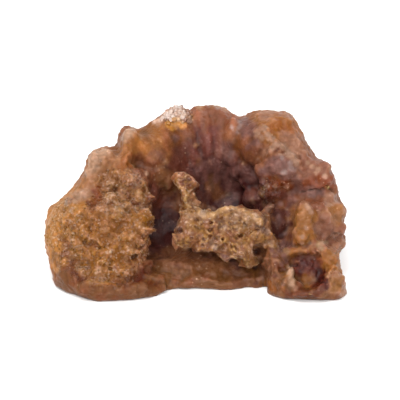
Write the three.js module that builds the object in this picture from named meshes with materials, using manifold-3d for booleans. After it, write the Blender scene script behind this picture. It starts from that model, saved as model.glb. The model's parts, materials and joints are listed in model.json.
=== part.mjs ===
// Raw citrine cluster: one piece of honey-brown quartz, grown together from rounded lumps round a hollow,
// with a crust of small points on its left shoulder and on a bridge across the hollow.
// Millimetres, +Z up. The origin is at the middle of the footprint, on the surface that the stone rests on.
import * as THREE from "three";
import { ImprovedNoise } from "three/addons/math/ImprovedNoise.js";
import { SimplifyModifier } from "three/addons/modifiers/SimplifyModifier.js";
import { MarchingCubes } from "three/addons/objects/MarchingCubes.js";
import { mergeVertices } from "three/addons/utils/BufferGeometryUtils.js";
import Module from "manifold-3d";

const wasm = await Module();
wasm.setup();

// ---- driving dimensions ---------------------------------------------------------------------
// The stone is laid out on its show face, as [across, up, out]: across to the right, up the face, and out of it
// towards the viewer. The face leans back from upright by faceLean.
const faceLean = THREE.MathUtils.degToRad(20);
const faceHeight = 16.7; // height of the layout's zero above the resting surface
const faceDepth = 0; // how far behind the part's origin the layout's zero lies
const faceShift = 0.2; // how far right of the part's origin the layout's zero lies
const groundDepth = 40; // how far the flat cut under the stone reaches down

const outlineSwell = 0.35; // how far the rim stands outside its outline before it is rounded
const rimBlend = 3; // width over which the rim is rounded
const lumpBlend = 1.4; // width over which neighbouring lumps run into each other
const crustBlend = 1.8;
const bridgeBlend = 1.2;

const druseApart = 3.2; // least distance between the crust's quartz points
const druseRadius = [1.2, 1.8];
const druseHeight = [1.6, 2.2];
const druseLean = 0.35; // how far a point may lean away from the crust's own slope
const druseSeed = 7;
const pointSunk = 0.8; // how deep each point's foot lies in the stone

const fieldCells = 64; // cells along each side of the cube that the skin is traced in, a power of two
const fieldHalf = 40; // half that cube's side
const cornerGap = 0.06; // the skin keeps this far off the corners of the cells
const relaxPasses = 4; // times that the skin's triangles are evened out
const skinCorners = 3400; // corners kept in the skin, most of them where it bends

const noise = new ImprovedNoise();
const { clamp, lerp, degToRad, radToDeg, seededRandom, smoothstep } = THREE.MathUtils;
const length = (x, y, z) => Math.sqrt(x * x + y * y + z * z);

// ---- the stone's forms ----------------------------------------------------------------------

// The face's outline, clockwise from the far left, [across, up].
const outline = [
  [-35.2, -6.7], [-34.8, -2.8], [-33.2, -0.7], [-30.4, 1.8], [-27.7, 4.8], [-26.1, 7.6], [-25.1, 10.6],
  [-23.3, 12.2], [-20.5, 12.9], [-18.7, 12.4], [-18, 15.4], [-17.1, 17.4], [-15.5, 17.7], [-14.1, 16.8],
  [-11.4, 18.1], [-8.4, 20.4], [-5.8, 22.3], [-3.8, 22], [-2.2, 20.9], [-0.1, 22.3], [2.2, 22.5],
  [5.9, 22.3], [7.9, 21.3], [9.8, 19.7], [11.4, 20.4], [13.7, 21.6], [18, 21.3], [21.9, 20.9],
  [23.8, 17.7], [25.4, 13.8], [27, 11.2], [29.3, 9.6], [31.3, 7.3], [32.5, 4.1], [33.2, 0.9],
  [34.5, -0.9], [34.8, -3.4], [33.9, -6], [34.5, -7.8], [34.1, -10.1], [32.9, -11.7], [33.2, -14.5],
  [34.3, -17], [34.5, -20.4], [32.9, -22], [28.3, -22.3], [23.3, -22], [19.2, -21.6], [16.4, -20.7],
  [13.9, -19.1], [11.4, -19.5], [9.1, -20.2], [5.9, -19.7], [2.2, -19.3], [-3.8, -19.3], [-7, -20],
  [-8.8, -21.3], [-11.8, -21.8], [-15.7, -21.8], [-19.4, -22.3], [-23.3, -22.7], [-26.7, -21.8],
  [-30, -20], [-32.5, -17.9], [-33.4, -15.4], [-34.3, -11.2],
];

// Oval lumps: the middle, the half lengths, the roll in the plane of the face and the tip towards the viewer.
const leftRim = [
  { at: [-26, -1, -3], size: [9, 6, 8], roll: 42 },
  { at: [-24.4, 4.6, -1], size: [3.4, 3.6, 5] },
  { at: [-21.4, 9.4, -2], size: [3.8, 3.8, 5.4], roll: 20 },
  { at: [-16.4, 13.6, -4], size: [2.8, 4.2, 5] },
  { at: [-17.6, 8, 0.5], size: [1.9, 4.4, 3.4], roll: -24 },
  { at: [-10.4, 10.4, -8.6], size: [8.4, 7, 6.6], roll: 38 },
  { at: [-13.4, 3, -6], size: [5.4, 7, 6], roll: 20 },
  { at: [-13.6, 12.2, -5.4], size: [4, 4.6, 4.6] },
  { at: [-4.6, 19, -11], size: [3.4, 4.4, 4.4] },
];

const leftMass = [
  { at: [-23.6, -8.5, -3], size: [12.6, 12.4, 13] },
  { at: [-29, -10, 2], size: [6, 8, 7] },
  { at: [-27.5, -17, 4], size: [7.4, 6, 8] },
  { at: [-20.5, -19.6, 8], size: [10.5, 4.6, 7.4], roll: -4 },
  { at: [-12.4, -19.2, 5.4], size: [5.8, 4, 6.4] },
];

const upperBlock = [
  { at: [17.5, 14.4, -8.4], size: [8.6, 8, 8.8], roll: -12 },
  { at: [13.2, 15, -8], size: [4.4, 5.6, 5.2] },
  { at: [23.4, 11.2, -7], size: [5.2, 8.4, 8], roll: 25 },
  { at: [16.4, 15.4, -0.6], size: [2, 1.8, 2.4] },
  { at: [18.2, 12, 0.4], size: [2.2, 2.6, 2.8] },
  { at: [21.4, 9.2, 0.8], size: [2.8, 2.2, 3] },
  { at: [19.4, 7.4, -1.4], size: [5.4, 4, 5.4], roll: -16 },
  { at: [17.8, 2.8, -3.4], size: [3.4, 2.4, 4.4] },
  { at: [13.4, 1.2, -9], size: [2.8, 2.2, 3.4] },
];

const rightMass = [
  { at: [24, -6, -9], size: [11, 15, 11] },
  { at: [28.6, 6, -4.4], size: [5, 5, 7], roll: 20 },
  { at: [25.6, 5.4, -1], size: [3.2, 3.6, 4] },
  { at: [27.6, -3.6, -2.4], size: [6.8, 6, 9.6] },
  { at: [24.6, -2.8, 5.2], size: [2.7, 3.4, 4] },
  { at: [23.6, -7.2, 5.8], size: [3.2, 2.6, 4.4] },
  { at: [23.4, -10.6, 5.4], size: [3, 1.3, 4.4] },
  { at: [27.6, -10.4, 4.6], size: [2.4, 2, 4.4] },
  { at: [32.4, -2.6, -2], size: [3, 2.8, 5] },
  { at: [32, -6.2, -1], size: [2.6, 2.2, 4.4] },
  { at: [32.2, -9.6, -2], size: [2.4, 2.2, 4] },
  { at: [30.6, -13.2, 3], size: [3.2, 3.8, 6.6], roll: 14 },
  { at: [31.4, -18.8, 8], size: [3.6, 4, 6.6] },
  { at: [17.6, -13.6, 4.4], size: [3.4, 3.4, 6.4] },
  { at: [19.4, -17.4, 6.4], size: [3.4, 3.6, 6.4] },
  { at: [25, -20.8, 6], size: [10, 2.8, 9] },
  { at: [26, -15.4, -1], size: [8, 5.4, 6] },
  { at: [16.6, -8.4, -1], size: [5.4, 5, 6] },
];

const shelf = [
  { at: [0, -19, 0.4], size: [19, 4.6, 7] },
  { at: [1, -14.4, -1.4], size: [17, 3.2, 6.4] },
  { at: [4, -12.4, -9], size: [26, 4.6, 9] },
];

// Holes that go deeper than the hollow itself: its left end, the gap right of the bridge, and a niche.
const hollows = [
  { at: [-7.4, -4, -1.4], size: [3.8, 9, 6.6], roll: 6, blend: 2.4 },
  { at: [19.4, -4.4, 4.4], size: [1.7, 4.2, 6], roll: 6, blend: 1.2 },
  { at: [25.4, -14.8, 9], size: [3.4, 2.6, 4.6], roll: -14, blend: 1.2 },
];
const nicheLump = { at: [24.2, -17, 4.6], size: [2.2, 1.8, 3] };

const crust = [
  { at: [-18.4, -3.4, 6.4], size: [5.6, 4.6, 6] },
  { at: [-13.2, -4.6, 7], size: [3.4, 3, 4.4] },
  { at: [-22.6, -8.2, 7], size: [4.6, 4, 5] },
  { at: [-15.4, -9.2, 8], size: [5, 3.4, 4.8], roll: 14 },
  { at: [-20.4, -13.4, 7.4], size: [5.6, 5, 5.4] },
  { at: [-14.2, -14, 6.8], size: [3.8, 3.8, 4.8] },
  { at: [-15, 4.4, 1.2], size: [4, 3.8, 5] },
  { at: [-12.4, 0.8, 2.6], size: [3, 3, 4] },
  { at: [-26.8, -4, 2.4], size: [5, 5, 7] },
];

const bridge = [
  { at: [-1.4, -4.6, 7.2], size: [3.4, 3.4, 2.8] },
  { at: [3.6, -4.9, 8], size: [4.4, 3.5, 3] },
  { at: [8.4, -4.5, 8.2], size: [4.4, 3.6, 3] },
  { at: [12.8, -5.4, 7.8], size: [3.2, 3.2, 2.8] },
  { at: [-2.4, -8.2, 8], size: [3.2, 2.2, 2.4], roll: 14 },
  { at: [2.6, -8.4, 8.6], size: [4, 2.9, 2.8] },
  { at: [7.2, -9, 8.8], size: [4, 3.2, 2.8] },
  { at: [11.4, -11, 8.4], size: [1.9, 4.3, 2.4], roll: 12 },
  { at: [15.4, -5.6, 6.6], size: [1.8, 3.6, 2.4], roll: 14 },
  { at: [17, -9.4, 5.8], size: [1.5, 3.2, 2.6], roll: 20 },
  { at: [16.6, -1.5, 4], size: [2.8, 1.2, 2.4], roll: 30 },
  { at: [-1.9, 0.6, 5.2], size: [1.7, 3.6, 2.2], tip: 18 },
  { at: [-2.7, 4.5, 3.6], size: [2.6, 1.9, 2.4] },
  { at: [4.6, -8, 1], size: [8, 2.4, 8] },
];

// Longer quartz points along the crust's right edge, the bridge's ends and its lower edge, and which way each
// one leans.
const edgePoints = [
  { at: [-11.4, -5.4, 7.6], along: [1, -0.1, 0.5], radius: 1.3, height: 3.2 },
  { at: [-12, -8, 8.2], along: [1, -0.3, 0.4], radius: 1.2, height: 3 },
  { at: [-13.2, -10.6, 8.6], along: [1, -0.3, 0.5], radius: 1.2, height: 3 },
  { at: [-12.4, -13.2, 7.8], along: [1, -0.4, 0.5], radius: 1, height: 2.8 },
  { at: [-14.6, -16, 8.4], along: [1, -0.5, 0.5], radius: 1.2, height: 3 },
  { at: [-4, -8.8, 8.4], along: [-1, -0.4, 0.2], radius: 1.1, height: 2.8 },
  { at: [-1, -10, 8.6], along: [-0.2, -1, 0.3], radius: 1, height: 2.6 },
  { at: [5, -11, 9], along: [0.1, -1, 0.3], radius: 1, height: 2.6 },
  { at: [8.2, -11.6, 9], along: [0.2, -1, 0.2], radius: 1, height: 2.6 },
  { at: [12.2, -13.6, 8.4], along: [0.2, -1, 0.1], radius: 1.1, height: 3 },
  { at: [17.9, -11, 6], along: [0.7, -0.8, 0.2], radius: 1, height: 2.6 },
];

// The hollow's back wall: how far out it stands, where it falls back, and the ribs that fan up it from a foot
// on the hollow's floor.
const wall = { out: -6.6, crownBack: 2, crownFrom: 14, crownTo: 23 };
const wallDips = [
  { at: [8.4, 1], size: [9, 8], depth: 5 },
  { at: [-7.4, -4], size: [5, 8], depth: 2 },
];
const fan = { foot: [5.8, -7.3], from: -42, to: 14, ribs: 6, low: 13, high: 32, height: 1.1, fade: 5 };

// The back swells out behind the middle, with broad rough lumps.
const back = { out: -12.5, swell: 4, halfWidth: 36, rough: 2.4, pitch: [0.11, 0.13] };

// Unevenness: lumps are bent out of true, and the skin is pitted, deeper on the crust.
const bend = { depth: 1.3, pitch: 0.15 };
const skinPits = { depth: 0.4, pitch: 0.4 };
const crustPits = { depth: 0.8, pitch: 0.42 };

// ---- distances ------------------------------------------------------------------------------
// Each of these gives how far a spot lies outside a form, in millimetres, and is negative inside it.

function smoothMin(a, b, blend) {
  const near = Math.max(blend - Math.abs(a - b), 0) / blend;
  return Math.min(a, b) - near * near * blend * 0.25;
}

const smoothMax = (a, b, blend) => -smoothMin(-a, -b, blend);

function lumpDistance({ at, size, roll = 0, tip = 0 }, across, up, out) {
  const turn = degToRad(roll);
  const tilt = degToRad(tip);
  const right = across - at[0];
  const above = up - at[1];
  const ahead = out - at[2];
  const x = right * Math.cos(turn) + above * Math.sin(turn);
  const rise = above * Math.cos(turn) - right * Math.sin(turn);
  const y = rise * Math.cos(tilt) + ahead * Math.sin(tilt);
  const z = ahead * Math.cos(tilt) - rise * Math.sin(tilt);
  const near = length(x / size[0], y / size[1], z / size[2]);
  const steep = length(x / size[0] ** 2, y / size[1] ** 2, z / size[2] ** 2);
  return steep > 0 ? (near * (near - 1)) / steep : -Math.min(...size);
}

// In the plane of the face, to a closed line of points.
function outlineDistance(points, across, up) {
  let nearest = Infinity;
  let inside = false;
  for (let i = 0, j = points.length - 1; i < points.length; j = i++) {
    const [ax, ay] = points[i];
    const [bx, by] = points[j];
    const along = ((across - ax) * (bx - ax) + (up - ay) * (by - ay)) / ((bx - ax) ** 2 + (by - ay) ** 2);
    const share = clamp(along, 0, 1);
    nearest = Math.min(nearest, length(across - lerp(ax, bx, share), up - lerp(ay, by, share), 0));
    const spans = ay > up !== by > up;
    if (spans && across < ((bx - ax) * (up - ay)) / (by - ay) + ax) inside = !inside;
  }
  return inside ? -nearest : nearest;
}

const outlineCurve = new THREE.CatmullRomCurve3(outline.map(([x, y]) => new THREE.Vector3(x, y, 0)), true);
const roundedOutline = outlineCurve.getPoints(outline.length * 3).slice(1);
const rim = roundedOutline.map(({ x, y }) => [x, y]);
const rimDistance = (across, up) => outlineDistance(rim, across, up);

// How high a rib of the fan stands at a spot on the back wall.
function rib(across, up) {
  const right = across - fan.foot[0];
  const above = up - fan.foot[1];
  const share = (radToDeg(Math.atan2(right, above)) - fan.from) / (fan.to - fan.from);
  const within = smoothstep(share, -0.05, 0.05) * (1 - smoothstep(share, 0.95, 1.05));
  const radius = length(right, above, 0);
  const begun = smoothstep(radius, fan.low, fan.low + fan.fade);
  const along = begun * (1 - smoothstep(radius, fan.high - fan.fade, fan.high));
  return fan.height * within * along * Math.abs(Math.sin(share * fan.ribs * Math.PI));
}

function wallOut(across, up) {
  let out = wall.out - wall.crownBack * smoothstep(up, wall.crownFrom, wall.crownTo) + rib(across, up);
  for (const { at, size, depth } of wallDips) {
    out -= depth * Math.exp(-(((across - at[0]) / size[0]) ** 2) - ((up - at[1]) / size[1]) ** 2);
  }
  return out;
}

function backOut(across, up) {
  const swell = back.swell * Math.sqrt(Math.max(0, 1 - (across / back.halfWidth) ** 2));
  return back.out - swell - back.rough * noise.noise(across * back.pitch[0], up * back.pitch[1], 21.4);
}

function bent(across, up, out) {
  const x = across * bend.pitch;
  const y = up * bend.pitch;
  const z = out * bend.pitch;
  return [
    across + bend.depth * noise.noise(x, y, z + 3.7),
    up + bend.depth * noise.noise(x + 31.4, y, z),
    out + bend.depth * noise.noise(x, y + 17.3, z),
  ];
}

function pits({ depth, pitch }, across, up, out) {
  return depth * noise.noise(across * pitch, up * pitch, out * pitch + 9.1);
}

function crustDistance(across, up, out) {
  const spot = bent(across, up, out);
  let far = fieldHalf;
  for (const lump of crust) far = smoothMin(far, lumpDistance(lump, ...spot), crustBlend);
  for (const lump of bridge) far = smoothMin(far, lumpDistance(lump, ...spot), bridgeBlend);
  return far + pits(crustPits, ...spot);
}

function stoneDistance(across, up, out, toRim) {
  const spot = bent(across, up, out);
  const behind = backOut(across, up) - out;
  let far = smoothMax(out - wallOut(across, up), behind, 2);
  for (const lump of [...leftRim, ...leftMass, ...upperBlock, ...rightMass, ...shelf]) {
    far = smoothMin(far, lumpDistance(lump, ...spot), lumpBlend);
  }
  far = smoothMax(far, behind, 4);
  for (const hollow of hollows) far = smoothMax(far, -lumpDistance(hollow, ...spot), hollow.blend);
  far = smoothMin(far, lumpDistance(nicheLump, ...spot), 0.8);
  far = smoothMax(far, toRim - outlineSwell, rimBlend);
  return smoothMin(far, crustDistance(across, up, out), 0.8) + pits(skinPits, across, up, out);
}

// ---- skin -----------------------------------------------------------------------------------

// The surface where the distance is zero, as a closed mesh.
function tracedSkin() {
  const cubes = new MarchingCubes(fieldCells, undefined, false, false, 40000);
  const place = (index) => ((index - cubes.halfsize) / cubes.halfsize) * fieldHalf;
  cubes.isolation = 0;
  for (let j = 0; j < fieldCells; j++) {
    for (let i = 0; i < fieldCells; i++) {
      const toRim = rimDistance(place(i), place(j));
      for (let k = 0; k < fieldCells; k++) {
        const far = toRim > 4 ? toRim : stoneDistance(place(i), place(j), place(k), toRim);
        const kept = Math.max(Math.abs(far), cornerGap) * Math.sign(far);
        cubes.field[i + j * cubes.yd + k * cubes.zd] = -kept;
      }
    }
  }
  cubes.update();
  const geometry = new THREE.BufferGeometry();
  const corners = cubes.positionArray.slice(0, cubes.count * 3);
  geometry.setAttribute("position", new THREE.BufferAttribute(corners, 3));
  geometry.scale(fieldHalf, fieldHalf, fieldHalf);
  return mergeVertices(geometry, 1e-5);
}

// Each corner's neighbours along the mesh's edges.
function neighbours(geometry) {
  const index = geometry.index.array;
  const near = Array.from({ length: geometry.attributes.position.count }, () => new Set());
  for (let i = 0; i < index.length; i += 3) {
    for (const corner of index.slice(i, i + 3)) {
      for (const other of index.slice(i, i + 3)) if (other !== corner) near[corner].add(other);
    }
  }
  return near;
}

// Moves a spot onto the stone's surface, down the slope of its distance.
function ontoStone(spot) {
  const step = 0.2;
  const reach = 0.6;
  const distance = ({ x, y, z }) => stoneDistance(x, y, z, rimDistance(x, y));
  const far = distance(spot);
  const slope = new THREE.Vector3();
  for (const axis of ["x", "y", "z"]) {
    const beside = spot.clone();
    beside[axis] += step;
    slope[axis] = (distance(beside) - far) / step;
  }
  const back = clamp(far / Math.max(slope.length(), 0.4), -reach, reach);
  return spot.addScaledVector(slope.normalize(), -back);
}

// Evens out the triangles: each corner moves towards the middle of its neighbours, then back onto the stone.
function relaxed(geometry) {
  const corners = geometry.attributes.position.array;
  const near = neighbours(geometry);
  const other = new THREE.Vector3();
  for (let pass = 0; pass < relaxPasses; pass++) {
    const before = corners.slice();
    near.forEach((others, i) => {
      const spot = new THREE.Vector3();
      for (const j of others) spot.add(other.fromArray(before, 3 * j));
      spot.divideScalar(others.size).lerp(other.fromArray(before, 3 * i), 0.4);
      ontoStone(spot).toArray(corners, 3 * i);
    });
  }
  return geometry;
}

async function skin() {
  const even = relaxed(tracedSkin());
  return new SimplifyModifier().modify(even, even.attributes.position.count - skinCorners);
}

// ---- joining --------------------------------------------------------------------------------

const toPart = new THREE.Matrix4()
  .makeTranslation(faceShift, faceDepth, faceHeight)
  .multiply(new THREE.Matrix4().makeRotationX(Math.PI / 2 - faceLean));

// A closed geometry as a solid, which can be joined and cut.
function solid(geometry) {
  return new wasm.Manifold(
    new wasm.Mesh({
      numProp: 3,
      vertProperties: new Float32Array(geometry.attributes.position.array),
      triVerts: new Uint32Array(geometry.index.array),
    }),
  );
}

// One of three's own shapes with its shared corners merged, so that it is closed.
function closed(geometry) {
  geometry.deleteAttribute("normal");
  geometry.deleteAttribute("uv");
  return mergeVertices(geometry);
}

// A six-sided quartz point that stands on a spot and leans along a direction.
function quartzPoint(at, along, radius, height) {
  const cone = closed(new THREE.ConeGeometry(radius, height, 6));
  const upright = new THREE.Vector3(0, 1, 0);
  const turn = new THREE.Quaternion().setFromUnitVectors(upright, along.clone().normalize());
  cone.translate(0, height / 2 - pointSunk, 0);
  cone.applyQuaternion(turn);
  cone.translate(...at);
  return solid(cone.applyMatrix4(toPart));
}

// Points that grow out of the crust wherever it faces outwards, apart from one another.
function drusePoints(geometry) {
  const { position, normal } = geometry.attributes;
  const between = ([low, high]) => lerp(low, high, seededRandom());
  const grown = [];
  const points = [];
  seededRandom(druseSeed);
  for (let i = 0; i < position.count; i++) {
    const at = new THREE.Vector3().fromBufferAttribute(position, i);
    const along = new THREE.Vector3().fromBufferAttribute(normal, i);
    const onCrust = crustDistance(...at) < 0.35 && along.z > -0.1;
    if (!onCrust || grown.some((other) => other.distanceTo(at) < druseApart)) continue;
    const lean = new THREE.Vector3(between([-1, 1]), between([-1, 1]), between([-1, 1]));
    along.addScaledVector(lean, druseLean);
    grown.push(at);
    points.push(quartzPoint(at, along, between(druseRadius), between(druseHeight)));
  }
  return points;
}

function ground() {
  const box = closed(new THREE.BoxGeometry(200, 200, groundDepth));
  return solid(box.translate(0, 0, -groundDepth / 2));
}

async function stone() {
  const face = await skin();
  face.computeVertexNormals();
  let made = solid(face.clone().applyMatrix4(toPart));
  for (const point of drusePoints(face)) made = made.add(point);
  for (const { at, along, radius, height } of edgePoints) {
    made = made.add(quartzPoint(new THREE.Vector3(...at), new THREE.Vector3(...along), radius, height));
  }
  return made.subtract(ground());
}

function geometryOf(made) {
  const { vertProperties, triVerts } = made.getMesh();
  const geometry = new THREE.BufferGeometry();
  geometry.setAttribute("position", new THREE.BufferAttribute(vertProperties, 3));
  geometry.setIndex(new THREE.BufferAttribute(triVerts, 1));
  geometry.computeVertexNormals();
  return geometry;
}

// The outer skin alone: points that meet over a dimple can close a pocket, which stays solid stone.
function withoutPockets(geometry) {
  const near = neighbours(geometry);
  const { position } = geometry.attributes;
  let farthest = 0;
  for (let i = 1; i < position.count; i++) if (position.getX(i) > position.getX(farthest)) farthest = i;
  const outer = new Set([farthest]);
  for (const corner of outer) near[corner].forEach((other) => outer.add(other));
  const kept = [];
  for (let i = 0; i < geometry.index.count; i += 3) {
    const corners = geometry.index.array.slice(i, i + 3);
    if (outer.has(corners[0])) kept.push(...corners);
  }
  return geometry.setIndex(kept);
}

const citrine = new THREE.MeshStandardMaterial({ color: 0xa8683c, roughness: 0.35, metalness: 0 });
const cluster = new THREE.Mesh(withoutPockets(geometryOf(await stone())), citrine);
cluster.name = "citrine_cluster";

const part = new THREE.Group();
part.add(cluster);

export default part;
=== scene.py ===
"""Raw citrine cluster: the looks of one piece of honey-brown quartz.

The stone is laid out on its show face in millimetres, as (across, up, out): across to the right, up the
face and out of it towards the viewer. The face leans back from upright by FACE_LEAN. Lengths are in
millimetres where no comment says otherwise.
"""
import json
import math

import bpy
import numpy as np
from mathutils import Matrix, Vector, noise

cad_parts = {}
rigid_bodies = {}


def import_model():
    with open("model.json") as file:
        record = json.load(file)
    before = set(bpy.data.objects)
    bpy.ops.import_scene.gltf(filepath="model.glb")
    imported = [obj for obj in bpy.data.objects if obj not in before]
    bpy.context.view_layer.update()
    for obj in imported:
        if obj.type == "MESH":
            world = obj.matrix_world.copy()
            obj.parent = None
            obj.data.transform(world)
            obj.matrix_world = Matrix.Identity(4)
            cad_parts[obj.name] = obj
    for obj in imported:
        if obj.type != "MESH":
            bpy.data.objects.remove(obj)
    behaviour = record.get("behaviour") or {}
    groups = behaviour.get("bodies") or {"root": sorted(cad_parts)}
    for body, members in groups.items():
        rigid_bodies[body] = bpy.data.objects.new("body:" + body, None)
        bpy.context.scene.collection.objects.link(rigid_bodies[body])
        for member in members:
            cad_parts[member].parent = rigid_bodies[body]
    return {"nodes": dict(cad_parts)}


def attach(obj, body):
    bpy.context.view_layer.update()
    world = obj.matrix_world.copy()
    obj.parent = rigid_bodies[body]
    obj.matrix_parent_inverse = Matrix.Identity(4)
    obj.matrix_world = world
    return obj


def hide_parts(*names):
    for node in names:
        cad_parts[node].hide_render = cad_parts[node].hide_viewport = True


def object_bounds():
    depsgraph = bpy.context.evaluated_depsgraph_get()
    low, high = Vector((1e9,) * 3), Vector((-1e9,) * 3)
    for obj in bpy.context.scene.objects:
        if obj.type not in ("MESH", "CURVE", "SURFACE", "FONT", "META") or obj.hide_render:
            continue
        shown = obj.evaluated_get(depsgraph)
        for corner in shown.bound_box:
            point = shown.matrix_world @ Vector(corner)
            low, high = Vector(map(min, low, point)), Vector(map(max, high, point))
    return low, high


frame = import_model()
cad_low, cad_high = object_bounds()
noise.seed_set(2)  # without a seed, the ragged edges would change from run to run

# ---- sizes ----------------------------------------------------------------------------------

MM = 0.001
FACE_LEAN = math.radians(20)
FACE_HEIGHT = 16.7  # height of the layout's zero above the floor
FACE_SHIFT = 0.2  # how far right of the part's origin the layout's zero lies

CAMERA_AWAY = 0.9  # metres from the camera to the middle of the stone
CAMERA_AIM = (0.8, 0.69)  # the point of the face that the camera looks at
CAMERA_HIGH = math.radians(20)
VIEW_WIDTH = 91.8  # width of the view at the stone
SENSOR = 36

GRAIN = 0.42  # the stone's mesh, before the crust is made finer
GROUND = 0.35  # below this height the stone keeps its flat cut
GROUND_SOFT = 1.5  # height above that over which marks come up to their full strength
MOST_FACES = 190000  # triangles that the stone's own mesh may have in the end
OUT_SHARE = 0.22  # how much a step out of the face counts beside a step along it, for marks
EDGE_NOISE = 2.5  # size of the noise that makes the edges of marks ragged
EDGE_SEED = 5
SMOOTHING = 0.5  # how far a round of smoothing takes a corner
SKIN_ROUNDS = 3
FINER_FROM = 0.3  # crust weight from which the mesh is made finer
CALM_SHARE = 0.8  # how much of the bare stone's relief the calm walls go without
LEAST_WEIGHT = 0.01  # corners below this weight are left out of a group

# ---- the forms of the stone -----------------------------------------------------------------

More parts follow.
